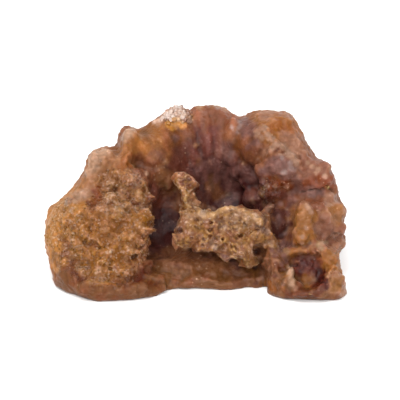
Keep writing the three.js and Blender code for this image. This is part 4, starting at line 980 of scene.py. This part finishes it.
# Clouds of two more colours on the cedar ground under the washes: colour, size, seed and share.
GROUND_CLOUDS = [("copper", 9, 1, 1), ("rosewood", 5, 2, 0.5)]
WASH_COVER = 0.9  # how much of what lies under it a wash hides at its middle
WASH_CORE = 0.55  # share of a wash's radius that is covered evenly
WASH_EDGE = 0.85  # share of the radius over which it then fades
SMALL_WASH = 1.2  # washes up to this radius have close edges, the others broad ones
BROAD_EDGE = (2.2, 0.8, 3)  # size, strength and seed of the noise on broad edges
CLOSE_EDGE = (1.2, 0.25, 7)  # the same on close edges

# Painted highlight and painted shade: what stands proud of the smoothed skin is painted lighter, and what
# lies deep is painted darker: rounds of smoothing, and the change in lightness for each millimetre.
LUMP_ROUNDS, LUMP_LIGHT = 160, 0.08
BROAD_ROUNDS, BROAD_LIGHT, BROAD_CRUST_LIGHT = 40, 0.18, 0.12
FINE_ROUNDS, FINE_LIGHT = 6, 0.4
TUFTS, TUFT_LIGHT = (1.5, 6), 1.1  # slow light and dark patches on the crusts: size, seed and strength
DARKEST, LIGHTEST = -0.45, 0.4
PALENESS = 0.5  # how far a painted highlight turns from the place's own colour to grey

# Painted shade in the crusts' dips and painted highlights on their tops: how fast the dips take a dark
# shade colour and the tops a pale straw highlight, for each millimetre below or above the finely and the
# broadly smoothed skin, and how far they take it at most.
DIP_FINE, DIP_BROAD, MOST_PITTED = 2, 0.7, 0.6
TOP_FINE, TOP_BROAD, MOST_PALE = 1.2, 0.6, 0.45
LEFT_SPARED = 0.6  # share of the dips' painted shade that the left crust goes without
LEFT_GILT = 0.2  # how far the whole left crust takes the colour tawny
CREST_CLOUDS, CREST_LIGHT, MOST_CREST = (1.3, 4), 1.1, 0.4  # patches of a pale rim colour, partly painted highlight, along the bridge's rims
FAN_STREAKS = [(1, 9, 0.12, 3), (0.7, 24, 0.2, 8)]  # strength, fineness across and along, and seed
STREAK_LIGHT = 0.5  # how much lighter or darker the streaks make the fan
MOST_BRIGHT = 0.9  # no colour goes above this

# ---- the quartz's finish --------------------------------------------------------------------

# The solid patterns in the quartz: marks to the metre, and how dark and how light they make it.
CLOUD_MARKS, CLOUD_LIGHT = 260, (0.9, 1.1)
MOTTLE_MARKS, MOTTLE_LIGHT = 650, (0.9, 1.1)
GRAIN_MARKS, GRAIN_LIGHT = 1500, (0.88, 1.12)

# Tiny facets on the crusts, painted lighter as crystal faces that catch the light, and small painted
# glints where
# the clouds are light: marks to the metre, and ranges that run from the first value to the second while
# the pattern runs from the third to the fourth.
FACET_MARKS, FACET_LIGHT, FACET_EDGE = 1900, (0.96, 1.4, 0.58, 1), (1.03, 0.97, 0.1, 0.7)
PAINTED_GLINT_MARKS, PAINTED_GLINT_COVER, PAINTED_GLINT_PATCHES = 900, (0.4, 0, 0.08, 0.24), (0, 1, 0.52, 0.7)
# Colour of the painted glints.
PAINTED_GLINT_COLOUR = (0.7, 0.45, 0.3, 1)
LESS_COLOUR = (1, 0.72, 1, 1.5)  # how the colour weakens where the patterns make it lighter, like a painted highlight

BUMP_DEPTH = 0.4
QUARTZ_IOR = 1.544
GLOSS = 0.12  # strength of the reflection, which is weak because the skin is waxy
LIGHT_SPREAD = (1, 0.88, 0.8)  # how far red, green and blue light go in, as shares of a finish's depth

# Range of roughness, share and depth of the light that goes in, share that goes through, strength of the
# bump, and how light the darkest and the lightest point of a crust are.
FINISHES = {
    "cloudy_quartz": dict(
        roughness=(0.3, 0.55), subsurface=1, depth=2, transmission=0, bump=0.6, light=(1, 1),
    ),
    "quartz_points": dict(
        roughness=(0.25, 0.5), subsurface=1, depth=0.6, transmission=0, bump=0.2, light=(0.9, 1.4),
    ),
    "clear_quartz": dict(
        roughness=(0.1, 0.25), subsurface=0.5, depth=1, transmission=0.2, bump=0.2, light=(1, 1.5),
    ),
}

# ---- light ----------------------------------------------------------------------------------

# Soft lamps that look at the stone: name, place and size in metres, and power.
LAMPS = [
    ("key", (-0.28, -0.38, 0.8), 0.5, 7),
    ("front", (0.05, -0.95, 0.5), 0.5, 11),
    ("back", (0.3, 0.5, 0.45), 0.3, 2),
]
ROOM_LIGHT = 0.7
FLOOR_SIZE = 6
FLOOR_GREY = 0.9
FLOOR_ROUGHNESS = 0.9

# ---- places ---------------------------------------------------------------------------------

SINE, COSINE = math.sin(FACE_LEAN), math.cos(FACE_LEAN)
ACROSS = Vector((1, 0, 0))
UP = Vector((0, SINE, COSINE))
OUT = Vector((0, -COSINE, SINE))


def face(across, up, out=0.0):
    """A place on the face's layout, in the part's own frame, in metres."""
    return (Vector((FACE_SHIFT, 0, FACE_HEIGHT)) + across * ACROSS + up * UP + out * OUT) * MM


AIM = face(*CAMERA_AIM)
EYE = AIM + Vector((0, -math.cos(CAMERA_HIGH), math.sin(CAMERA_HIGH))) * CAMERA_AWAY


def layout(rows):
    """Corners as (across, up, out) in millimetres.

    A step out of the face counts for less, so that marks run on round edges.
    """
    ways = np.array((ACROSS, UP, OUT * OUT_SHARE))
    return (rows / MM - np.array((FACE_SHIFT, 0, FACE_HEIGHT))) @ ways.T


def seen(piece, across, up):
    """The place of the surface that shows at that point of the face."""
    sight = (face(across, up) - EYE).normalized()
    hit, place, _, _ = piece.ray_cast(EYE, sight)
    return place if hit else face(across, up)


# ---- modelling helpers ----------------------------------------------------------------------


def pick(*pieces):
    """Makes pieces the only selected ones, and the first of them the active one."""
    bpy.ops.object.select_all(action="DESELECT")
    for piece in pieces:
        piece.select_set(True)
    bpy.context.view_layer.objects.active = pieces[0]


def apply_modifiers(piece):
    pick(piece)
    for modifier in list(piece.modifiers):
        bpy.ops.object.modifier_apply(modifier=modifier.name)


def corners(piece):
    """All corners of the mesh, one row each, in metres."""
    rows = np.empty(len(piece.data.vertices) * 3)
    piece.data.vertices.foreach_get("co", rows)
    return rows.reshape(-1, 3)


def keep_inside(piece):
    """Moves the few corners that stand outside the part's own box back onto its sides."""
    rows = np.clip(corners(piece), np.array(cad_low), np.array(cad_high))
    piece.data.vertices.foreach_set("co", rows.ravel())
    piece.data.update()


def fade(gap, soft):
    """1 where gap is below nothing, falling smoothly to 0 at soft."""
    share = np.clip(1 - gap / soft, 0, 1)
    return share * share * (3 - 2 * share)


def wavering(rows, size, most, seed):
    """The corners moved by up to most by a slow noise of that size, so that marks get ragged edges."""
    shift = Vector((seed, seed * 1.7, -seed))
    moved = [noise.noise_vector(Vector(row) / (size * MM) + shift) for row in rows]
    return rows + np.array(moved) * most * MM


def cloud(rows, size, seed):
    """A slow noise from 0 to 1 at each corner."""
    shift = Vector((seed, -seed, seed * 0.6))
    return np.array([0.5 + 0.5 * noise.noise(Vector(row) / (size * MM) + shift) for row in rows])


def reach(piece, spots, core, soft, ragged=0.7):
    """How far each corner lies in the spots: 1 within core radii, fading to 0 over soft radii more."""
    rows = layout(wavering(corners(piece), EDGE_NOISE, ragged, EDGE_SEED))
    weight = np.zeros(len(rows))
    for across, up, radius in spots:
        gap = np.linalg.norm(rows - layout(np.array(seen(piece, across, up))), axis=1)
        weight = np.maximum(weight, fade(gap - core * radius, soft * radius))
    return weight


def along(lines):
    """Close-set spots that run along lines, each line a radius and its points (across, up)."""
    spots = []
    for radius, points in lines:
        for (across, up), (next_across, next_up) in zip(points, points[1:]):
            far_across, far_up = next_across - across, next_up - up
            steps = 1 + int(math.hypot(far_across, far_up) / radius)
            for step in range(steps + 1):
                share = step / steps
                spots.append((across + far_across * share, up + far_up * share, radius))
    return spots


def streaks(rows):
    """Fine light and dark streaks that run down the fan towards its foot."""
    across = rows[:, 0] / MM - FACE_SHIFT - FAN_FOOT[0]
    up = (rows[:, 2] / MM - FACE_HEIGHT) * COSINE + rows[:, 1] / MM * SINE - FAN_FOOT[1]
    turns = np.arctan2(across, up)
    gaps = np.hypot(across, up)
    light = np.zeros(len(rows))
    for share, to_turn, to_gap, seed in FAN_STREAKS:
        light += share * np.array([
            noise.noise(Vector((turn * to_turn, gap * to_gap, seed))) for turn, gap in zip(turns, gaps)
        ])
    return light


def weigh(piece, name, weight):
    """A vertex group of these weights, which keeps off the flat cut under the stone."""
    weight = weight * np.clip((corners(piece)[:, 2] / MM - GROUND) / GROUND_SOFT, 0, 1)
    group = piece.vertex_groups.new(name=name)
    for index in np.flatnonzero(weight > LEAST_WEIGHT):
        group.add([int(index)], float(weight[index]), "REPLACE")


def group_weight(piece, name):
    """The weights of a vertex group, one for each corner."""
    group = piece.vertex_groups[name].index
    return np.array([
        next((entry.weight for entry in vertex.groups if entry.group == group), 0)
        for vertex in piece.data.vertices
    ])


def push(piece, group, strength):
    """Moves a vertex group along its normals, in millimetres."""
    moved = piece.modifiers.new(group, "DISPLACE")
    moved.strength = strength * MM
    moved.mid_level = 0
    moved.vertex_group = group


def displace(piece, name, kind, size, strength, group, level, settings):
    """Pushes a part of the surface in and out by a solid texture whose marks are size wide."""
    texture = bpy.data.textures.new(name, kind)
    texture.noise_scale = size * MM
    for key, value in settings.items():
        setattr(texture, key, value)
    moved = piece.modifiers.new(name, "DISPLACE")
    moved.texture = texture
    moved.texture_coords = "LOCAL"
    moved.strength = strength * MM
    moved.mid_level = level
    moved.vertex_group = group


def smooth(piece, rounds):
    calm = piece.modifiers.new("calm", "SMOOTH")
    calm.factor = SMOOTHING
    calm.iterations = rounds
    apply_modifiers(piece)


def node(tree, kind, inputs=None, **settings):
    """Adds a node to a tree. An input is a value, or another node's output that it is linked to."""
    made = tree.nodes.new(kind)
    for key, value in settings.items():
        setattr(made, key, value)
    for key, value in (inputs or {}).items():
        if isinstance(value, bpy.types.NodeSocket):
            tree.links.new(value, made.inputs[key])
        else:
            made.inputs[key].default_value = value
    return made


# ---- the stone ------------------------------------------------------------------------------


def oval(middle, half):
    """A small round lump whose half lengths lie across, up and out of the face."""
    bpy.ops.mesh.primitive_ico_sphere_add(subdivisions=3, radius=MM)
    lump = bpy.context.object
    turn = Matrix((ACROSS, UP, OUT)).transposed().to_4x4()
    lump.data.transform(Matrix.Translation(middle) @ turn @ Matrix.Diagonal((*half, 1)))
    return lump


def stone_blank():
    """The node's own form as one closed skin."""
    source = frame["nodes"]["citrine_cluster"]
    stone = bpy.data.objects.new("citrine_body", source.data.copy())
    bpy.context.scene.collection.objects.link(stone)
    stone.data.materials.clear()
    pick(stone)
    bpy.ops.object.mode_set(mode="EDIT")
    bpy.ops.mesh.select_all(action="SELECT")
    bpy.ops.mesh.remove_doubles(threshold=1e-6)
    bpy.ops.object.mode_set(mode="OBJECT")
    return stone


def one_skin(stone):
    """Grows all that was joined to the stone together, into one skin of small even faces."""
    skin = stone.modifiers.new("skin", "REMESH")
    skin.mode = "VOXEL"
    skin.voxel_size = GRAIN * MM
    apply_modifiers(stone)


def grow_lumps(stone):
    """The listed lumps and flakes."""
    lumps = []
    for proud, spots in LUMPS.values():
        for across, up, wide, high in spots:
            deep = (wide + high) / 2
            tip = seen(stone, across, up)
            lumps.append(oval(tip + OUT * (proud - deep) * MM, (wide, high, deep)))
    for across, up, out, wide, high, deep in FLAKES:
        lumps.append(oval(face(across, up, out), (wide, high, deep)))
    pick(stone, *lumps)
    bpy.ops.object.join()
    one_skin(stone)


def cut_hollows(stone):
    hollows = [
        oval(seen(stone, across, up), (wide, high, deep)) for across, up, wide, high, deep in HOLLOWS
    ]
    pick(*hollows)
    bpy.ops.object.join()
    tool = bpy.context.object
    cut = stone.modifiers.new("hollows", "BOOLEAN")
    cut.operation = "DIFFERENCE"
    cut.solver = "EXACT"
    cut.object = tool
    apply_modifiers(stone)
    bpy.data.objects.remove(tool)
    one_skin(stone)
    smooth(stone, SKIN_ROUNDS)


def refine_crust(stone):
    """Marks the parts of the stone, and splits the crust's faces in four, for small pits and walls."""
    left = reach(stone, CRUST_LEFT, core=1, soft=0.5)
    bridge = reach(stone, CRUST_BRIDGE, core=1, soft=0.5)
    fine = reach(stone, CRUST_FINE, core=1, soft=0.7)
    fan = reach(stone, FAN, core=1, soft=0.6)
    calm = CALM_SHARE * reach(stone, CALM, core=0.8, soft=0.6)
    crust = np.maximum(np.maximum(left, bridge), fine)
    weigh(stone, "left", left)
    weigh(stone, "bridge", bridge)
    weigh(stone, "fine", fine)
    weigh(stone, "fan", fan)
    weigh(stone, "bare", 1 - np.maximum(np.maximum(crust, calm), fan))
    weigh(stone, "all", np.ones(len(crust)))
    pick(stone)
    stone.data.polygons.foreach_set("select", [
        bool(max(crust[index] for index in polygon.vertices) > FINER_FROM)
        for polygon in stone.data.polygons
    ])
    bpy.ops.object.mode_set(mode="EDIT")
    bpy.ops.mesh.select_mode(type="FACE")
    bpy.ops.mesh.subdivide(number_cuts=1, smoothness=0)
    bpy.ops.mesh.select_all(action="DESELECT")
    bpy.ops.object.mode_set(mode="OBJECT")


def roughen(stone):
    weigh(stone, "deep_pits", reach(stone, DEEP_PITS + along(CREASES), core=0.3, soft=0.9, ragged=0.8))
    weigh(stone, "pits", reach(stone, PITS, core=0.3, soft=1, ragged=0.9))
    weigh(stone, "rims", reach(stone, along(RIM_LINES), core=0.2, soft=1.7, ragged=0.6))
    for group, strength in PUSHED.items():
        push(stone, group, strength)
    for relief in RELIEF:
        displace(stone, *relief)
    apply_modifiers(stone)
    keep_inside(stone)


def stands_proud(stone, rounds):
    """How far each corner stands out of the skin smoothed by that many rounds, in millimetres."""
    copy = stone.copy()
    copy.data = stone.data.copy()
    bpy.context.scene.collection.objects.link(copy)
    smooth(copy, rounds)
    normals = np.empty(len(copy.data.vertices) * 3)
    copy.data.vertices.foreach_get("normal", normals)
    gap = np.sum((corners(stone) - corners(copy)) * normals.reshape(-1, 3), axis=1) / MM
    bpy.data.objects.remove(copy)
    return gap


def blend(tint, name, share):
    """The tint with that share of a named colour laid over it at each corner."""
    share = share[:, None]
    return tint * (1 - share) + COLOURS[name] * share


def washes(stone):
    """The ground colour, and over it the washes."""
    rows = corners(stone)
    broad = layout(wavering(rows, *BROAD_EDGE))
    close = layout(wavering(rows, *CLOSE_EDGE))
    tint = np.tile(COLOURS["cedar"], (len(rows), 1))
    for name, size, seed, share in GROUND_CLOUDS:
        tint = blend(tint, name, share * cloud(rows, size, seed))
    for name, spots in WASHES:
        for across, up, radius in spots:
            ragged = broad if radius > SMALL_WASH else close
            gap = np.linalg.norm(ragged - layout(np.array(seen(stone, across, up))), axis=1)
            tint = blend(tint, name, WASH_COVER * fade(gap - WASH_CORE * radius, WASH_EDGE * radius))
    return tint


def paint(stone):
    """Lays the washes on the stone, and paints what stands proud lighter as a highlight and what lies
    deep darker as shade.
    """
    rows = corners(stone)
    tint = washes(stone)
    lumps = stands_proud(stone, LUMP_ROUNDS)
    broad = stands_proud(stone, BROAD_ROUNDS)
    fine = stands_proud(stone, FINE_ROUNDS)
    left = group_weight(stone, "left")
    crust = np.clip(left + group_weight(stone, "bridge"), 0, 1)
    # Painted highlight where the skin stands proud and painted shade where it lies deep, with slow tufts
    # of random light and dark on the crusts.
    painted_shading_and_tufts = LUMP_LIGHT * lumps + (BROAD_LIGHT + BROAD_CRUST_LIGHT * crust) * broad + FINE_LIGHT * fine
    painted_shading_and_tufts += TUFT_LIGHT * crust * (cloud(rows, *TUFTS) - 0.5)
    painted_shading_and_tufts = np.clip(painted_shading_and_tufts, DARKEST, LIGHTEST)[:, None]
    # The painted highlights turn partly grey.
    pale = tint * (1 - PALENESS) + tint.max(axis=1, keepdims=True) * PALENESS
    tint = tint * (1 + np.minimum(painted_shading_and_tufts, 0)) + pale * np.maximum(painted_shading_and_tufts, 0)
    # Painted shade in the crusts' dips, and painted highlights on their tops.
    dips = crust * np.clip(-DIP_FINE * fine - DIP_BROAD * broad, 0, MOST_PITTED)
    tint = blend(tint, "pit_shade", dips * (1 - LEFT_SPARED * left))
    tops = crust * np.clip(TOP_FINE * fine + TOP_BROAD * broad, 0, MOST_PALE)
    tint = blend(tint, "straw_highlight", tops)
    tint = blend(tint, "tawny", LEFT_GILT * left)
    # Pale rims along the bridge: partly their own colour, partly a painted highlight on the lit edge.
    crest = np.clip(CREST_LIGHT * cloud(rows, *CREST_CLOUDS), 0, MOST_CREST)
    tint = blend(tint, "rim_pale_and_highlight", group_weight(stone, "rims") * crest)
    tint *= (1 + STREAK_LIGHT * group_weight(stone, "fan") * streaks(rows))[:, None]
    grit = stone.data.attributes.new(name="grit", type="FLOAT", domain="POINT")
    grit.data.foreach_set("value", np.clip(crust + group_weight(stone, "fine"), 0, 1))
    layer = stone.data.color_attributes.new(name="tint", type="FLOAT_COLOR", domain="POINT")
    rgba = np.ones((len(rows), 4))
    rgba[:, :3] = np.clip(tint, 0, MOST_BRIGHT)
    layer.data.foreach_set("color", rgba.ravel())


def thin(stone):
    """Joins small faces where the skin is smooth, to keep the mesh light."""
    faces = sum(len(polygon.vertices) - 2 for polygon in stone.data.polygons)
    fewer = stone.modifiers.new("fewer", "DECIMATE")
    fewer.ratio = MOST_FACES / faces
    apply_modifiers(stone)


def build_stone():
    stone = stone_blank()
    grow_lumps(stone)
    cut_hollows(stone)
    refine_crust(stone)
    roughen(stone)
    paint(stone)
    thin(stone)
    pick(stone)
    bpy.ops.object.shade_smooth()
    weigh(stone, "crown", reach(stone, CROWN, core=0.8, soft=0.6, ragged=0.2))
    return stone


# ---- the crusts' quartz points --------------------------------------------------------------


def quartz_point(name, shaft, tip, lean):
    """A six-sided point one millimetre wide, standing on the origin."""
    bpy.ops.mesh.primitive_cylinder_add(
        vertices=6, radius=MM / 2, depth=shaft * MM, location=(0, 0, shaft * MM / 2)
    )
    point = bpy.context.object
    point.name = name
    for side in point.data.polygons:
        side.select = side.normal.z > 0.9
    bpy.ops.object.mode_set(mode="EDIT")
    bpy.ops.mesh.select_mode(type="FACE")
    bpy.ops.mesh.extrude_region_move(TRANSFORM_OT_translate={"value": (lean * MM, 0, tip * MM)})
    bpy.ops.mesh.merge(type="CENTER")
    bpy.ops.object.mode_set(mode="OBJECT")
    point.data.transform(Matrix.Translation(point.location))
    point.location = (0, 0, 0)
    return point


def druse_kit():
    """The quartz points to plant, kept out of the scene."""
    kit = bpy.data.collections.new("druse_kit")
    for name, shaft, tip, lean in POINT_KIT:
        point = quartz_point(name, shaft, tip, lean)
        for collection in point.users_collection:
            collection.objects.unlink(point)
        kit.objects.link(point)
    return kit


def planting(name, kit, group, apart, sizes, tilt, seed):
    """The node tree that stands quartz points all over a vertex group, as one real mesh."""
    tree = bpy.data.node_groups.new(name, "GeometryNodeTree")
    tree.interface.new_socket("Geometry", in_out="INPUT", socket_type="NodeSocketGeometry")
    tree.interface.new_socket("Geometry", in_out="OUTPUT", socket_type="NodeSocketGeometry")
    ground = node(tree, "NodeGroupInput")
    mask = node(tree, "GeometryNodeInputNamedAttribute", {"Name": group}, data_type="FLOAT")
    spread = node(tree, "GeometryNodeDistributePointsOnFaces", {
        "Mesh": ground.outputs[0], "Distance Min": apart * MM, "Density Max": 2 / (apart * MM) ** 2,
        "Density Factor": mask.outputs[0], "Seed": seed,
    }, distribute_method="POISSON")
    lean = node(tree, "FunctionNodeRandomValue", {
        0: (-tilt, -tilt, -math.pi), 1: (tilt, tilt, math.pi), "Seed": seed + 1,
    }, data_type="FLOAT_VECTOR")
    size = node(tree, "FunctionNodeRandomValue", {
        2: sizes[0], 3: sizes[1], "Seed": seed + 2,
    }, data_type="FLOAT")
    glint = node(tree, "FunctionNodeRandomValue", {"Seed": seed + 3}, data_type="FLOAT")
    turn = node(tree, "FunctionNodeEulerToRotation", {0: lean.outputs[0]})
    stand = node(tree, "FunctionNodeRotateRotation", {
        "Rotation": spread.outputs["Rotation"], "Rotate By": turn.outputs[0],
    }, rotation_space="LOCAL")
    marked = node(tree, "GeometryNodeStoreNamedAttribute", {
        "Geometry": spread.outputs["Points"], "Name": "glint", "Value": glint.outputs[1],
    }, data_type="FLOAT", domain="POINT")
    points = node(tree, "GeometryNodeCollectionInfo", {
        "Collection": kit, "Separate Children": True, "Reset Children": True,
    })
    planted = node(tree, "GeometryNodeInstanceOnPoints", {
        "Points": marked.outputs[0], "Instance": points.outputs[0], "Pick Instance": True,
        "Rotation": stand.outputs[0], "Scale": size.outputs[1],
    })
    sunk = node(tree, "GeometryNodeTranslateInstances", {
        "Instances": planted.outputs[0], "Translation": (0, 0, -POINT_SUNK * MM), "Local Space": True,
    })
    real = node(tree, "GeometryNodeRealizeInstances", {"Geometry": sunk.outputs[0]})
    node(tree, "NodeGroupOutput", {0: real.outputs[0]})
    return tree


def plant(name, stone, kit, group, apart, sizes, tilt, seed):
    """A crust of quartz points on a part of the stone, which keeps the stone's tint."""
    piece = bpy.data.objects.new(name, stone.data.copy())
    bpy.context.scene.collection.objects.link(piece)
    for vertex_group in stone.vertex_groups:
        piece.vertex_groups.new(name=vertex_group.name)
    tree = planting(name, kit, group, apart, sizes, tilt, seed)
    piece.modifiers.new("plant", "NODES").node_group = tree
    apply_modifiers(piece)
    bpy.data.node_groups.remove(tree)
    keep_inside(piece)
    piece.data.materials.clear()
    return piece


# ---- finishes -------------------------------------------------------------------------------


def scaled(tree, value, low, high, start=0.3, end=0.7):
    """Turns a value that runs from start to end into one that runs from low to high."""
    return node(tree, "ShaderNodeMapRange", {
        "Value": value, "From Min": start, "From Max": end, "To Min": low, "To Max": high,
    }).outputs[0]


def times(tree, product, *others):
    """The product of several values."""
    for other in others:
        product = node(tree, "ShaderNodeMath", {0: product, 1: other}, operation="MULTIPLY").outputs[0]
    return product


def marks(tree, where, scale, detail):
    """A solid noise with that many marks to the metre."""
    noisy = node(tree, "ShaderNodeTexNoise", {"Vector": where, "Scale": scale, "Detail": detail})
    return noisy.outputs["Fac"]


def facet_glints(tree, where, grit):
    """Painted glints on the crusts alone: each tiny facet lighter at random, with painted shade at its
    edge.
    """
    facets = node(tree, "ShaderNodeTexVoronoi", {"Vector": where, "Scale": FACET_MARKS})
    each = node(tree, "ShaderNodeSeparateColor", {"Color": facets.outputs["Color"]})
    light = scaled(tree, each.outputs["Red"], *FACET_LIGHT)
    edge = scaled(tree, facets.outputs["Distance"], *FACET_EDGE)
    return node(tree, "ShaderNodeMix", {
        "Factor": grit, 2: 1, 3: times(tree, light, edge),
    }, data_type="FLOAT").outputs[0]


def finish(name, roughness, subsurface, depth, transmission, bump, light):
    """Cloudy quartz: tint, fine grain, painted glints, a waxy gloss and light that goes a little way in.
    """
    material = bpy.data.materials.new(name)
    material.use_nodes = True
    tree = material.node_tree
    tree.nodes.clear()
    where = node(tree, "ShaderNodeTexCoord").outputs["Object"]
    tint = node(tree, "ShaderNodeAttribute", attribute_name="tint")
    glint = node(tree, "ShaderNodeAttribute", attribute_name="glint")
    grit = node(tree, "ShaderNodeAttribute", attribute_name="grit")
    clouds = marks(tree, where, CLOUD_MARKS, 3)
    mottle = marks(tree, where, MOTTLE_MARKS, 2)
    grains = marks(tree, where, GRAIN_MARKS, 4)
    tone = times(
        tree, scaled(tree, clouds, *CLOUD_LIGHT), scaled(tree, grains, *GRAIN_LIGHT),
        scaled(tree, mottle, *MOTTLE_LIGHT), scaled(tree, glint.outputs["Fac"], *light, 0, 1),
        facet_glints(tree, where, grit.outputs["Fac"]),
    )
    # Lighter places lose some colour, like painted highlights.
    shade = node(tree, "ShaderNodeHueSaturation", {
        "Color": tint.outputs["Color"], "Value": tone, "Saturation": scaled(tree, tone, *LESS_COLOUR),
    })
    # Painted glints: small pale spots where the clouds are light.
    glint_cells = node(tree, "ShaderNodeTexVoronoi", {"Vector": where, "Scale": PAINTED_GLINT_MARKS})
    glint_cover = scaled(tree, glint_cells.outputs["Distance"], *PAINTED_GLINT_COVER)
    patchy = scaled(tree, clouds, *PAINTED_GLINT_PATCHES)
    body = node(tree, "ShaderNodeMix", {
        "Factor": times(tree, glint_cover, patchy), 6: shade.outputs[0], 7: PAINTED_GLINT_COLOUR,
    }, data_type="RGBA")
    relief = node(tree, "ShaderNodeBump", {
        "Strength": bump, "Distance": BUMP_DEPTH * MM, "Height": grains,
    })
    shader = node(tree, "ShaderNodeBsdfPrincipled", {
        "Base Color": body.outputs[2], "Roughness": scaled(tree, grains, *roughness), "IOR": QUARTZ_IOR,
        "Normal": relief.outputs[0], "Subsurface Weight": subsurface, "Subsurface Radius": LIGHT_SPREAD,
        "Subsurface Scale": depth * MM, "Transmission Weight": transmission, "Specular IOR Level": GLOSS,
    })
    node(tree, "ShaderNodeOutputMaterial", {"Surface": shader.outputs[0]})
    return material


# ---- the stage ------------------------------------------------------------------------------


def lay_floor():
    bpy.ops.mesh.primitive_plane_add(size=FLOOR_SIZE)
    floor = bpy.context.object
    floor.name = "floor"
    surface = bpy.data.materials.new("pale_floor")
    surface.use_nodes = True
    shader = surface.node_tree.nodes["Principled BSDF"]
    shader.inputs["Base Color"].default_value = (FLOOR_GREY, FLOOR_GREY, FLOOR_GREY, 1)
    shader.inputs["Roughness"].default_value = FLOOR_ROUGHNESS
    floor.data.materials.append(surface)


def put(name, data, place):
    """Puts a lamp or the camera at its place, turned to the stone."""
    thing = bpy.data.objects.new(name, data)
    thing.location = place
    thing.rotation_euler = (AIM - Vector(place)).to_track_quat("-Z", "Y").to_euler()
    bpy.context.scene.collection.objects.link(thing)
    return thing


def light_room():
    world = bpy.data.worlds.new("studio")
    bpy.context.scene.world = world
    world.use_nodes = True
    world.node_tree.nodes["Background"].inputs["Color"].default_value = (1, 1, 1, 1)
    world.node_tree.nodes["Background"].inputs["Strength"].default_value = ROOM_LIGHT
    for name, place, size, power in LAMPS:
        lamp = bpy.data.lights.new(name, "AREA")
        lamp.energy = power
        lamp.size = size
        put(name, lamp, place)


def aim_camera():
    lens = bpy.data.cameras.new("camera")
    lens.sensor_width = SENSOR
    lens.lens = SENSOR * CAMERA_AWAY / (VIEW_WIDTH * MM)
    bpy.context.scene.camera = put("camera", lens, EYE)
    bpy.context.scene.view_settings.view_transform = "Standard"


# ---- the whole ------------------------------------------------------------------------------

stone = build_stone()
kit = druse_kit()
druses = [plant(name, stone, kit, *habit) for name, *habit, _ in DRUSES]
for point in list(kit.objects):
    bpy.data.objects.remove(point)

surfaces = {name: finish(name, **looks) for name, looks in FINISHES.items()}
stone.data.materials.append(surfaces["cloudy_quartz"])
for druse, (*_, surface) in zip(druses, DRUSES):
    druse.data.materials.append(surfaces[surface])

lay_floor()
light_room()
aim_camera()

for piece in (stone, *druses):
    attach(piece, "root")
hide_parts("citrine_cluster")
